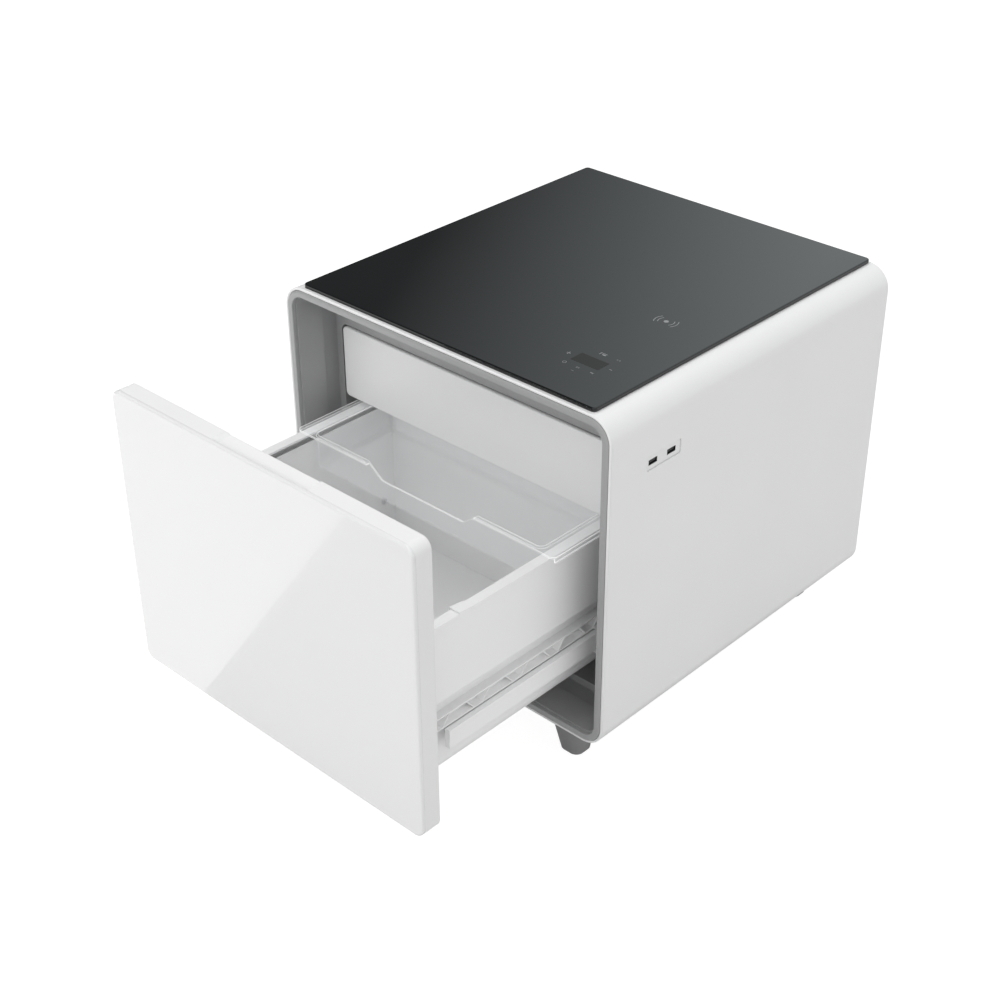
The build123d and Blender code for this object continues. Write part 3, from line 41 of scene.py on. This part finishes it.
# The camera stands to the right of the open drawer and looks down on the glass,
# with the lens that the straight edges of the table give.
stand = (1.15405, -1.24204, 1.27166)
camera_data = bpy.data.cameras.new("camera")
camera_data.sensor_fit = "HORIZONTAL"
camera_data.sensor_width = 36
camera_data.lens = 62.1
camera_data.clip_start = 0.01
camera = bpy.data.objects.new("camera", camera_data)
bpy.context.scene.collection.objects.link(camera)
turn, rise, roll = math.radians(43.41), math.radians(31.86), math.radians(-0.32)
back = Vector((math.sin(turn) * math.cos(rise), -math.cos(turn) * math.cos(rise), math.sin(rise)))
side = Vector((math.cos(turn), math.sin(turn), 0))
up = back.cross(side)
right = side * math.cos(roll) + up * math.sin(roll)
top = up * math.cos(roll) - side * math.sin(roll)
camera.matrix_world = Matrix(
    (
        (right.x, top.x, back.x, stand[0]),
        (right.y, top.y, back.y, stand[1]),
        (right.z, top.z, back.z, stand[2]),
        (0, 0, 0, 1),
    )
)
bpy.context.scene.camera = camera

# Surround: white and even as light, but mirrored as a wall that darkens to the
# left and downwards, which is why the black glass runs from dark to grey.
world = bpy.data.worlds.new("studio")
bpy.context.scene.world = world
world.use_nodes = True
tree = world.node_tree
tree.nodes.clear()
rays = tree.nodes.new("ShaderNodeLightPath")
where = tree.nodes.new("ShaderNodeTexCoord")
split = tree.nodes.new("ShaderNodeSeparateXYZ")
tree.links.new(where.outputs["Generated"], split.inputs[0])
sweep = tree.nodes.new("ShaderNodeMath")
sweep.operation = "ARCTAN2"
tree.links.new(split.outputs["X"], sweep.inputs[0])
tree.links.new(split.outputs["Y"], sweep.inputs[1])
slant = tree.nodes.new("ShaderNodeMath")
slant.operation = "MULTIPLY_ADD"
slant.inputs[1].default_value = 0.88
tree.links.new(split.outputs["Z"], slant.inputs[0])
tree.links.new(sweep.outputs[0], slant.inputs[2])
fade = tree.nodes.new("ShaderNodeMapRange")
dark_end, light_end = -0.4555, -0.2024
fade.inputs["From Min"].default_value = dark_end
fade.inputs["From Max"].default_value = light_end
fade.inputs["To Min"].default_value = 0.1
fade.inputs["To Max"].default_value = 1.12
tree.links.new(slant.outputs[0], fade.inputs["Value"])
soft = tree.nodes.new("ShaderNodeBackground")
soft.inputs["Color"].default_value = (1, 1, 1, 1)
soft.inputs["Strength"].default_value = 0.775
mirrored = tree.nodes.new("ShaderNodeBackground")
mirrored.inputs["Color"].default_value = (0.92, 0.99, 1, 1)
tree.links.new(fade.outputs["Result"], mirrored.inputs["Strength"])
seen = tree.nodes.new("ShaderNodeBackground")
seen.inputs["Color"].default_value = (1, 1, 1, 1)
gloss_or_not = tree.nodes.new("ShaderNodeMixShader")
tree.links.new(rays.outputs["Is Glossy Ray"], gloss_or_not.inputs[0])
tree.links.new(soft.outputs[0], gloss_or_not.inputs[1])
tree.links.new(mirrored.outputs[0], gloss_or_not.inputs[2])
eye = tree.nodes.new("ShaderNodeMath")
eye.operation = "MAXIMUM"
tree.links.new(rays.outputs["Is Camera Ray"], eye.inputs[0])
tree.links.new(rays.outputs["Is Transmission Ray"], eye.inputs[1])
surround = tree.nodes.new("ShaderNodeMixShader")
tree.links.new(eye.outputs[0], surround.inputs[0])
tree.links.new(gloss_or_not.outputs[0], surround.inputs[1])
tree.links.new(seen.outputs[0], surround.inputs[2])
sky = tree.nodes.new("ShaderNodeOutputWorld")
tree.links.new(surround.outputs[0], sky.inputs["Surface"])


# Lamps: two large soft discs, one above and one high in front of the door, so
# that its light also reaches the box under the cabinet's ceiling.
def soft_lamp(name, place, target, size, power):
    """A round lamp that no gloss mirrors, turned to its target."""
    data = bpy.data.lights.new(name, "AREA")
    data.shape = "DISK"
    data.size = size
    data.energy = power
    lamp = bpy.data.objects.new(name, data)
    lamp.location = place
    lamp.rotation_euler = (Vector(target) - Vector(place)).to_track_quat("-Z", "Y").to_euler()
    lamp.visible_glossy = False
    bpy.context.scene.collection.objects.link(lamp)


soft_lamp("lamp_above", (-0.3, -0.4, 2.8), (0, 0, 0.3), 1.8, 13)
soft_lamp("lamp_front", (-0.4, -2.8, 1.75), (0, -0.2, 0.3), 1.2, 13.5)

# A bright card low in front of the door: it lights nothing, but the glossy panel
# mirrors it, with its edge as the slanting change of tone.
card_mesh = bpy.data.meshes.new("card")
card_mesh.from_pydata(
    [(-0.151, -0.297, 0.001), (-0.541, -1.171, 0.001), (-2.6, -1.2, 0.001), (-2.2, -0.3, 0.001)],
    [],
    [(0, 1, 2, 3)],
)
card = bpy.data.objects.new("card", card_mesh)
bpy.context.scene.collection.objects.link(card)
for kind in ("camera", "diffuse", "transmission", "shadow", "volume_scatter"):
    setattr(card, "visible_" + kind, False)
card_light = bpy.data.materials.new("card_light")
card_light.use_nodes = True
tree = card_light.node_tree
tree.nodes.clear()
glow = tree.nodes.new("ShaderNodeEmission")
glow.inputs["Strength"].default_value = 1.32
out = tree.nodes.new("ShaderNodeOutputMaterial")
tree.links.new(glow.outputs[0], out.inputs["Surface"])
card_mesh.materials.append(card_light)

# Floor: a wide white sheet under the feet, nearly as bright as the surround, that
# keeps the soft shadow of the cabinet.
floor_mesh = bpy.data.meshes.new("floor")
reach = 6
floor_mesh.from_pydata(
    [(-reach, -reach, 0), (reach, -reach, 0), (reach, reach, 0), (-reach, reach, 0)],
    [],
    [(0, 1, 2, 3)],
)
floor = bpy.data.objects.new("floor", floor_mesh)
bpy.context.scene.collection.objects.link(floor)
pale = bpy.data.materials.new("pale_floor")
pale.use_nodes = True
tree = pale.node_tree
tree.nodes.clear()
rays = tree.nodes.new("ShaderNodeLightPath")
lit = tree.nodes.new("ShaderNodeBsdfDiffuse")
lit.inputs["Color"].default_value = (0.8, 0.8, 0.8, 1)
bright = tree.nodes.new("ShaderNodeEmission")
bright.inputs["Strength"].default_value = 1.25
eye = tree.nodes.new("ShaderNodeMath")
eye.operation = "MAXIMUM"
tree.links.new(rays.outputs["Is Camera Ray"], eye.inputs[0])
tree.links.new(rays.outputs["Is Transmission Ray"], eye.inputs[1])
share = tree.nodes.new("ShaderNodeMath")
share.operation = "MULTIPLY"
share.inputs[1].default_value = 0.75
tree.links.new(eye.outputs[0], share.inputs[0])
mix = tree.nodes.new("ShaderNodeMixShader")
out = tree.nodes.new("ShaderNodeOutputMaterial")
tree.links.new(share.outputs[0], mix.inputs[0])
tree.links.new(lit.outputs[0], mix.inputs[1])
tree.links.new(bright.outputs[0], mix.inputs[2])
tree.links.new(mix.outputs[0], out.inputs["Surface"])
floor_mesh.materials.append(pale)


# Outer shell: one sheet of steel bent round the cabinet and enamelled white, with
# the faint orange peel of a sprayed coat. Its front edge is rolled over and shows
# as a white rim round the frame.
def coat(name, colour, roughness, grain, depth, metallic=0.0, clear=0.0, mottle=0.02, worn=0.0005):
    """A finish with grain as bump, softened edges, and slow changes of shade and gloss."""
    material = bpy.data.materials.new(name)
    material.use_nodes = True
    tree = material.node_tree
    shader = tree.nodes["Principled BSDF"]
    shader.inputs["Metallic"].default_value = metallic
    shader.inputs["Coat Weight"].default_value = clear
    shader.inputs["Coat Roughness"].default_value = 0.03
    where = tree.nodes.new("ShaderNodeTexCoord")
    fine = tree.nodes.new("ShaderNodeTexNoise")
    fine.inputs["Scale"].default_value = grain
    fine.inputs["Detail"].default_value = 4
    tree.links.new(where.outputs["Object"], fine.inputs["Vector"])
    eased = tree.nodes.new("ShaderNodeBevel")
    eased.samples = 4
    eased.inputs["Radius"].default_value = worn
    bump = tree.nodes.new("ShaderNodeBump")
    bump.inputs["Strength"].default_value = 0.5
    bump.inputs["Distance"].default_value = depth
    tree.links.new(fine.outputs["Fac"], bump.inputs["Height"])
    tree.links.new(eased.outputs["Normal"], bump.inputs["Normal"])
    tree.links.new(bump.outputs["Normal"], shader.inputs["Normal"])
    slow = tree.nodes.new("ShaderNodeTexNoise")
    slow.inputs["Scale"].default_value = 9
    slow.inputs["Detail"].default_value = 3
    tree.links.new(where.outputs["Object"], slow.inputs["Vector"])
    shade = tree.nodes.new("ShaderNodeMix")
    shade.data_type = "RGBA"
    shade.inputs[6].default_value = (*[c * (1 - mottle) for c in colour], 1)
    shade.inputs[7].default_value = (*[min(1, c * (1 + mottle)) for c in colour], 1)
    tree.links.new(slow.outputs["Fac"], shade.inputs[0])
    tree.links.new(shade.outputs[2], shader.inputs["Base Color"])
    gloss = tree.nodes.new("ShaderNodeMapRange")
    gloss.inputs["To Min"].default_value = max(0.02, roughness * 0.85)
    gloss.inputs["To Max"].default_value = min(1, roughness * 1.15)
    tree.links.new(slow.outputs["Fac"], gloss.inputs["Value"])
    tree.links.new(gloss.outputs["Result"], shader.inputs["Roughness"])
    return material


def even(mesh, limit=35):
    """Shade smooth over curves, sharp at corners, and level on the flats beside them."""
    mesh.shade_smooth()
    mesh.set_sharp_from_angle(angle=math.radians(limit))
    spots = [tuple(round(c, 6) for c in vertex.co) for vertex in mesh.vertices]
    round_spot = {}
    for face in mesh.polygons:
        for vertex in face.vertices:
            round_spot.setdefault(spots[vertex], []).append((face.normal.copy(), face.area))
    least = math.cos(math.radians(limit))
    normals = []
    for face in mesh.polygons:
        for vertex in face.vertices:
            total = face.normal * 1e-12
            for normal, area in round_spot[spots[vertex]]:
                if face.normal.dot(normal) > least:
                    total = total + normal * area
            normals.append(total.normalized())
    mesh.normals_split_custom_set(normals)


def dress(material, *names):
    """Give solids their finish and their shading."""
    for name in names:
        for spot in nodes[name].material_slots:
            spot.material = material
        even(nodes[name].data)


def round_loop(half_x, half_z, radius, middle, y, steps=12):
    """Points round an upright rectangle with rounded corners, in millimetres."""
    points = []
    for corner in range(4):
        sign_x, sign_z = ((1, 1), (-1, 1), (-1, -1), (1, -1))[corner]
        for step in range(steps + 1):
            angle = math.radians(90 * corner + 90 * step / steps)
            points.append(
                (
                    sign_x * (half_x - radius) + radius * math.cos(angle),
                    y,
                    middle + sign_z * (half_z - radius) + radius * math.sin(angle),
                )
            )
    return points


def skin(name, loops, body, material, replaced=(), closed=False, level=False):
    """A piece made of loops joined in turn, its ends capped, or closed on itself."""
    if level:
        loops = [[(x, z, y) for x, y, z in loop] for loop in loops]
    build = bmesh.new()
    rows = [[build.verts.new([v / 1000 for v in point]) for point in loop] for loop in loops]
    pairs = list(zip(rows, rows[1:]))
    if closed:
        pairs.append((rows[-1], rows[0]))
    else:
        build.faces.new(rows[0])
        build.faces.new(rows[-1])
    for low, high in pairs:
        for index in range(len(low)):
            after = (index + 1) % len(low)
            build.faces.new((low[index], low[after], high[after], high[index]))
    bmesh.ops.recalc_face_normals(build, faces=build.faces)
    mesh = bpy.data.meshes.new(name)
    build.to_mesh(mesh)
    build.free()
    even(mesh)
    mesh.materials.append(material)
    piece = bpy.data.objects.new(name, mesh)
    bpy.context.scene.collection.objects.link(piece)
    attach(piece, body)
    if replaced:
        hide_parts(*replaced)
    return piece


enamel = coat("white_enamel", (0.885, 0.885, 0.885), 0.3, 900, 0.00002, clear=0.25)
dress(enamel, "outer_shell")
cabinet_half, cabinet_rise, cabinet_middle, cabinet_round = 240, 203.5, 255.5, 28


def cabinet_ring(inset, y):
    """The cabinet's outline, drawn in by an inset."""
    return round_loop(
        cabinet_half - inset, cabinet_rise - inset, cabinet_round - inset, cabinet_middle, y, 16
    )


rim_section = [
    (0, -116.9),
    (0, -117.5),
    (0.3, -118.1),
    (0.9, -118.5),
    (1.6, -118.6),
    (2.3, -118.5),
    (2.8, -118.15),
    (3, -117.6),
    (3, -116.9),
]
skin(
    "shell_rim",
    [cabinet_ring(inset, y) for inset, y in rim_section],
    "cabinet",
    enamel,
    closed=True,
)

# Front frame: a satin grey moulding inside the shell's rim, with a chamfer on the
# outside, a flat face and a deep collar, pressed in from the front.
frame_grey = coat("frame_grey", (0.38, 0.383, 0.383), 0.3, 1400, 0.00003, clear=0.15)
frame_section = [
    (3.35, -116.9),
    (3.35, -118.2),
    (3.7, -118.65),
    (5.5, -119.3),
    (6.1, -119.5),
    (10.3, -119.5),
    (10.75, -119.4),
    (11.05, -119.1),
    (11.2, -118.6),
    (11.2, -77),
    (12.9, -77),
    (12.9, -114.2),
    (3.35, -114.2),
]
skin(
    "front_ring",
    [cabinet_ring(inset, y) for inset, y in frame_section],
    "cabinet",
    frame_grey,
    replaced=["front_frame"],
    closed=True,
)

# Inner liner: vacuum-formed grey sheet, softly satin, foamed in behind, with the
# two runners of the medicine box on its walls.
liner_grey = coat("liner_grey", (0.365, 0.367, 0.37), 0.42, 1100, 0.00004)
dress(liner_grey, "inner_liner", "box_runner_left", "box_runner_right")

# Foam: rigid cream foam between the skins of the cabinet and of the door, with the
# zinc bulkhead behind it.
foam = coat("rigid_foam", (0.8, 0.74, 0.5), 0.9, 420, 0.0004, mottle=0.08)
dress(foam, "insulation_foam", "door_foam")
zinc = coat("zinc_plate", (0.6, 0.61, 0.63), 0.34, 350, 0.00004, metallic=1, mottle=0.12)
dress(zinc, "bulkhead")

# Glass top: one pane of tempered glass, painted black underneath, with ground and
# polished edges, bonded to the shell.
glass = coat("black_glass", (0.0075, 0.008, 0.0085), 0.05, 2.5, 0.00001, mottle=0.1, worn=0.0002)
pane_half, pane_reach, pane_middle, pane_round = 213.5, 242.25, 128.45, 5
pane_section = [
    (0.5, 459),
    (0, 459.5),
    (0, 462.6),
    (0.1, 463.05),
    (0.4, 463.55),
    (0.85, 463.85),
    (1.3, 463.95),
]
skin(
    "glass_pane",
    [
        round_loop(pane_half - inset, pane_reach - inset, pane_round - inset, pane_middle, height)
        for inset, height in pane_section
    ],
    "cabinet",
    glass,
    replaced=["glass_top"],
    level=True,
)

# Marks on the glass: the window of the display and small grey signs of the touch
# keys round it, and a sign over the charging coil, all printed as a thin film.
film_grey = coat("film_grey", (0.27, 0.277, 0.28), 0.3, 600, 0.000005, mottle=0.05)
film_faint = coat("film_faint", (0.16, 0.165, 0.168), 0.3, 600, 0.000005, mottle=0.05)
window_dark = coat("window_dark", (0.012, 0.011, 0.01), 0.12, 500, 0.000005, mottle=0.05)
window_dark.node_tree.nodes["Principled BSDF"].inputs["Specular IOR Level"].default_value = 0.2
film_low, film_top = 0.46396, 0.464


def bar(x, y, length, width):
    """A straight stroke about its middle."""
    corners = ((-1, -1), (1, -1), (1, 1), (-1, 1))
    return [(x + a * length / 2, y + b * width / 2) for a, b in corners]


def sweep_round(x, y, radius, start, end, points):
    """Points on a circle from one angle to another, in degrees."""
    angles = [math.radians(start + (end - start) * k / points) for k in range(points + 1)]
    return [(x + radius * math.cos(a), y + radius * math.sin(a)) for a in angles]


def disc(x, y, radius, points=16):
    """A round dot."""
    return sweep_round(x, y, radius, 0, 360, points)[:-1]


def arc(x, y, radius, width, start, end, points=12):
    """A bent stroke about its middle line."""
    outer = sweep_round(x, y, radius + width / 2, start, end, points)
    inner = sweep_round(x, y, radius - width / 2, start, end, points)
    return outer + inner[::-1]


def film(name, material, shapes):
    """Flat printed shapes on the glass, given as outlines in millimetres."""
    build = bmesh.new()
    for outline in shapes:
        low = [build.verts.new((x / 1000, y / 1000, film_low)) for x, y in outline]
        high = [build.verts.new((x / 1000, y / 1000, film_top)) for x, y in outline]
        build.faces.new(high)
        build.faces.new(low[::-1])
        for k in range(len(low)):
            after = (k + 1) % len(low)
            build.faces.new((low[k], low[after], high[after], high[k]))
    bmesh.ops.recalc_face_normals(build, faces=build.faces)
    mesh = bpy.data.meshes.new(name)
    build.to_mesh(mesh)
    build.free()
    mesh.materials.append(material)
    piece = bpy.data.objects.new(name, mesh)
    bpy.context.scene.collection.objects.link(piece)
    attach(piece, "cabinet")


film("display_window", window_dark, [bar(144.85, -40.95, 36.9, 18.5)])
film(
    "key_signs",
    film_grey,
    [
        bar(116.3, -41, 5, 0.9),
        bar(116.3, -39.3, 0.9, 2.2),
        bar(116.3, -42.7, 0.9, 2.2),
        bar(172.5, -40.9, 4, 0.9),
        bar(144.7, -18, 8.6, 0.9),
        bar(141.2, -20.4, 0.9, 3.6),
        bar(146.6, -20.6, 4.6, 2),
        disc(144.2, 84.2, 2.9),
        arc(144.2, 84.2, 9.2, 1, -38, 38),
        arc(144.2, 84.2, 9.2, 1, 142, 218),
        arc(144.2, 84.2, 13.6, 1, -36, 36),
        arc(144.2, 84.2, 13.6, 1, 144, 216),
    ],
)
film(
    "key_signs_faint",
    film_faint,
    [
        arc(126.4, -59.1, 2, 1, 0, 359, 16),
        bar(144.6, -58.6, 4.6, 0.9),
        bar(144.6, -60.2, 4.6, 0.9),
        bar(163, -59, 4.4, 2.2),
        bar(144.8, -68, 3.4, 0.9),
        disc(163.8, -19.6, 1),
        disc(166.8, -19.6, 1),
    ],
)

# Electronics under the glass: a black tray with the green touch board and display,
# and a copper charging coil on its ferrite tile.
black_plastic = coat("black_plastic", (0.03, 0.03, 0.032), 0.5, 1500, 0.00004)
dress(black_plastic, "electronics_tray")
solder_mask = coat("solder_mask", (0.03, 0.2, 0.08), 0.35, 500, 0.00005, mottle=0.15)
dress(solder_mask, "touch_board", "usb_board")
ferrite = coat("ferrite", (0.06, 0.06, 0.062), 0.7, 900, 0.0001, mottle=0.1)
dress(ferrite, "coil_ferrite")
copper = coat("drawn_copper", (0.72, 0.33, 0.19), 0.28, 700, 0.00003, metallic=1, mottle=0.08)
dress(copper, "charging_coil")

# Charging sockets: a pale satin bezel let into the right side, round two
# sockets that are soldered to a board behind it. The sockets are dark all over:
# their tongues are black, and their plating is darkened as painted shade for the
# shade inside their openings.
satin_white = coat("satin_white", (0.87, 0.87, 0.87), 0.36, 1300, 0.00003)
dress(satin_white, "usb_bezel")
# Painted shade: the plating takes this near-black colour in place of the shade inside the socket
# openings.
socket_black_and_shade = coat("socket_black_and_shade", (0.045, 0.045, 0.047), 0.35, 900, 0.00002, metallic=0.4)
dress(socket_black_and_shade, "usb_sockets")

# Feet: four tapered satin grey mouldings, screwed up into the shell, each on a
# square rubber pad.
foot_grey = coat("foot_grey", (0.27, 0.27, 0.272), 0.34, 1200, 0.00004, clear=0.1)
dress(foot_grey, "foot_left_front", "foot_right_front", "foot_left_rear", "foot_right_rear")
rubber = coat("soft_rubber", (0.2, 0.2, 0.2), 0.75, 1600, 0.00006, mottle=0.06)
dress(rubber, "foot_pads")
bright_steel = coat("bright_steel", (0.72, 0.72, 0.74), 0.2, 800, 0.00002, metallic=1)
dress(bright_steel, "foot_screws")

# Door panel: a high-gloss white moulding with a softly rounded edge all round,
# bonded to the front of the door's body.
gloss_white = coat(
    "gloss_white", (0.855, 0.855, 0.857), 0.12, 300, 0.000004, clear=0.8, mottle=0.006
)


door_half, door_rise, door_middle, door_round = 223.2, 172.3, 257.1, 12
door_front, panel_back, body_back, edge_round = -372, -367.4, -346.8, 2.6


def door_loop(inset, y):
    """The door's outline, drawn in by an inset."""
    return round_loop(door_half - inset, door_rise - inset, door_round - inset, door_middle, y)


skin(
    "door_panel",
    [door_loop(0, panel_back), door_loop(0, door_front + edge_round)]
    + [
        door_loop(
            edge_round * (1 - math.cos(math.radians(a))),
            door_front + edge_round * (1 - math.sin(math.radians(a))),
        )
        for a in (18, 36, 54, 72, 90)
    ],
    "drawer",
    gloss_white,
    replaced=["door_front_panel"],
)

# Door body: a satin white moulding filled with foam, with the finger grip scooped
# out of its top behind the panel, and a pale gasket on its back.
door_body = skin(
    "door_shell",
    [
        door_loop(0, panel_back),
        door_loop(0, body_back - 1),
        door_loop(0.3, body_back - 0.3),
        door_loop(1, body_back),
    ],
    "drawer",
    satin_white,
    replaced=["door_body"],
)
door_top, over_top = door_middle + door_rise, 431
mouth_left, mouth_right, bottom_left, bottom_right = -66, 80, -59, 73
scoop = bmesh.new()
corners = []
for y, deep in ((panel_back - 0.1, 5.5), (body_back + 0.8, 2)):
    for x, height in (
        (mouth_left, over_top),
        (mouth_right, over_top),
        (bottom_right, door_top - deep),
        (bottom_left, door_top - deep),
    ):
        corners.append(scoop.verts.new((x / 1000, y / 1000, height / 1000)))
for face in ((0, 1, 2, 3), (4, 5, 6, 7), (0, 1, 5, 4), (1, 2, 6, 5), (2, 3, 7, 6), (3, 0, 4, 7)):
    scoop.faces.new([corners[k] for k in face])
bmesh.ops.recalc_face_normals(scoop, faces=scoop.faces)
scoop_mesh = bpy.data.meshes.new("scoop")
scoop.to_mesh(scoop_mesh)
scoop.free()
cutter = bpy.data.objects.new("scoop", scoop_mesh)
bpy.context.scene.collection.objects.link(cutter)
cut = door_body.modifiers.new("grip", "BOOLEAN")
cut.operation = "DIFFERENCE"
cut.solver = "EXACT"
cut.object = cutter
bpy.context.view_layer.update()
carved = bpy.data.meshes.new_from_object(
    door_body.evaluated_get(bpy.context.evaluated_depsgraph_get())
)
door_body.modifiers.clear()
door_body.data = carved
even(carved, 30)
bpy.data.objects.remove(cutter)
gasket_rubber = coat("gasket_rubber", (0.66, 0.66, 0.67), 0.6, 1500, 0.00005)
dress(gasket_rubber, "door_gasket")

# Drawer tub: one white moulding with side rims, skirts and ribbed channels, and
# the steel screws that hold its slides.
tub_white = coat("tub_white", (0.96, 0.96, 0.96), 0.4, 1200, 0.00003, worn=0.0008)
dress(tub_white, "drawer_tub")
dress(bright_steel, "drawer_screws")

# Telescopic slides: white powder-coated channels on the drawer and the cabinet,
# zinc cages with steel balls between them, and zinc brackets on the liner.
slide_white = coat("slide_white", (0.96, 0.96, 0.96), 0.36, 1000, 0.00004, worn=0.0008)
dress(slide_white, "slide_inner_left", "slide_inner_right", "slide_outer_left", "slide_outer_right")
dress(zinc, "ball_cage_left", "ball_cage_right", "slide_bracket_left", "slide_bracket_right")
dress(bright_steel, "slide_balls_left", "slide_balls_right", "bracket_screws")

# Clear tray: one thin clear moulding. Its polished walls let nearly all light
# through. Its edges and the faces seen at a slant are painted whitish: an opaque
# white layer that glows faintly shows there, as painted highlight and painted sheen.
clear = bpy.data.materials.new("clear_moulding")
clear.use_nodes = True
tree = clear.node_tree
shader = tree.nodes["Principled BSDF"]
shader.inputs["Base Color"].default_value = (0.96, 0.96, 0.96, 1)
shader.inputs["Coat Weight"].default_value = 1
# Painted glow: the opaque white layer gives off a little light of its own, so edges and slanting
# faces look lit.
shader.inputs["Emission Color"].default_value = (1, 1, 1, 1)
shader.inputs["Emission Strength"].default_value = 0.3
where = tree.nodes.new("ShaderNodeTexCoord")
ripple = tree.nodes.new("ShaderNodeTexNoise")
ripple.inputs["Scale"].default_value = 40
tree.links.new(where.outputs["Object"], ripple.inputs["Vector"])
haze = tree.nodes.new("ShaderNodeMapRange")
haze.inputs["To Min"].default_value = 0.08
haze.inputs["To Max"].default_value = 0.16
tree.links.new(ripple.outputs["Fac"], haze.inputs["Value"])
tree.links.new(haze.outputs["Result"], shader.inputs["Roughness"])
wave = tree.nodes.new("ShaderNodeBump")
wave.inputs["Strength"].default_value = 0.2
wave.inputs["Distance"].default_value = 0.0002
tree.links.new(ripple.outputs["Fac"], wave.inputs["Height"])
tree.links.new(wave.outputs["Normal"], shader.inputs["Normal"])
through = tree.nodes.new("ShaderNodeBsdfTransparent")
through.inputs["Color"].default_value = (0.975, 0.978, 0.98, 1)
eased = tree.nodes.new("ShaderNodeBevel")
eased.samples = 8
eased.inputs["Radius"].default_value = 0.002
plain = tree.nodes.new("ShaderNodeNewGeometry")
likeness = tree.nodes.new("ShaderNodeVectorMath")
likeness.operation = "DOT_PRODUCT"
tree.links.new(eased.outputs["Normal"], likeness.inputs[0])
tree.links.new(plain.outputs["Normal"], likeness.inputs[1])
# Painted highlight on the edges: where the softened normal turns from the true one, the glowing
# white layer shows.
edge = tree.nodes.new("ShaderNodeMapRange")
edge.inputs["From Min"].default_value = 1
edge.inputs["From Max"].default_value = 0.85
edge.inputs["To Max"].default_value = 0.95
tree.links.new(likeness.outputs["Value"], edge.inputs["Value"])
# Painted sheen: faces seen at a slant also show some of the glowing white layer.
graze = tree.nodes.new("ShaderNodeLayerWeight")
graze.inputs["Blend"].default_value = 0.25
sheen = tree.nodes.new("ShaderNodeMapRange")
sheen.inputs["To Min"].default_value = 0.015
sheen.inputs["To Max"].default_value = 0.3
tree.links.new(graze.outputs["Facing"], sheen.inputs["Value"])
painted_light_share = tree.nodes.new("ShaderNodeMath")
painted_light_share.operation = "MAXIMUM"
tree.links.new(edge.outputs["Result"], painted_light_share.inputs[0])
tree.links.new(sheen.outputs["Result"], painted_light_share.inputs[1])
mix = tree.nodes.new("ShaderNodeMixShader")
tree.links.new(painted_light_share.outputs[0], mix.inputs[0])
tree.links.new(through.outputs[0], mix.inputs[1])
tree.links.new(shader.outputs[0], mix.inputs[2])
tree.links.new(mix.outputs[0], tree.nodes["Material Output"].inputs["Surface"])
dress(clear, "clear_tray")

# Medicine box: a satin white moulding that hangs on two runners of the liner, with
# a pale front plate fixed to it.
box_pale = coat("box_pale", (0.92, 0.92, 0.92), 0.4, 700, 0.00002, clear=0.1, mottle=0.01)
dress(box_pale, "medicine_box_front")
dress(satin_white, "medicine_box")

# Evaporator: rolled aluminium plate and tube on the back of the liner, and the
# white capsule of the temperature sensor in front of it.
rolled = coat("rolled_aluminium", (0.78, 0.79, 0.8), 0.3, 260, 0.00003, metallic=1, mottle=0.06)
dress(rolled, "evaporator_plate", "evaporator_tube")
dress(satin_white, "temperature_sensor")

# Machine room: a black enamelled compressor on rubber mounts and a zinc base, with
# copper lines to the black condenser coil, the drier and the capillary.
dress(zinc, "base_plate", "condenser_brackets")
black_enamel = coat("black_enamel", (0.015, 0.015, 0.016), 0.3, 700, 0.00005)
dress(black_enamel, "compressor", "condenser_coil")
dress(rubber, "compressor_mounts")
dress(copper, "suction_line", "discharge_line", "filter_drier", "capillary_tube")

# Condenser fan: a black moulded frame and rotor round a plated motor, screwed to
# the inside of the rear panel, where it draws air through the slots.
dress(black_plastic, "fan_frame", "fan_rotor")
dress(zinc, "fan_motor")

# Rear panel: white enamelled sheet with punched slots and pressed louvres, its
# steel screws, the black power inlet, and the control board on the side wall.
dress(enamel, "rear_panel")
dress(bright_steel, "rear_screws")
dress(black_plastic, "power_inlet")
dress(solder_mask, "control_board")
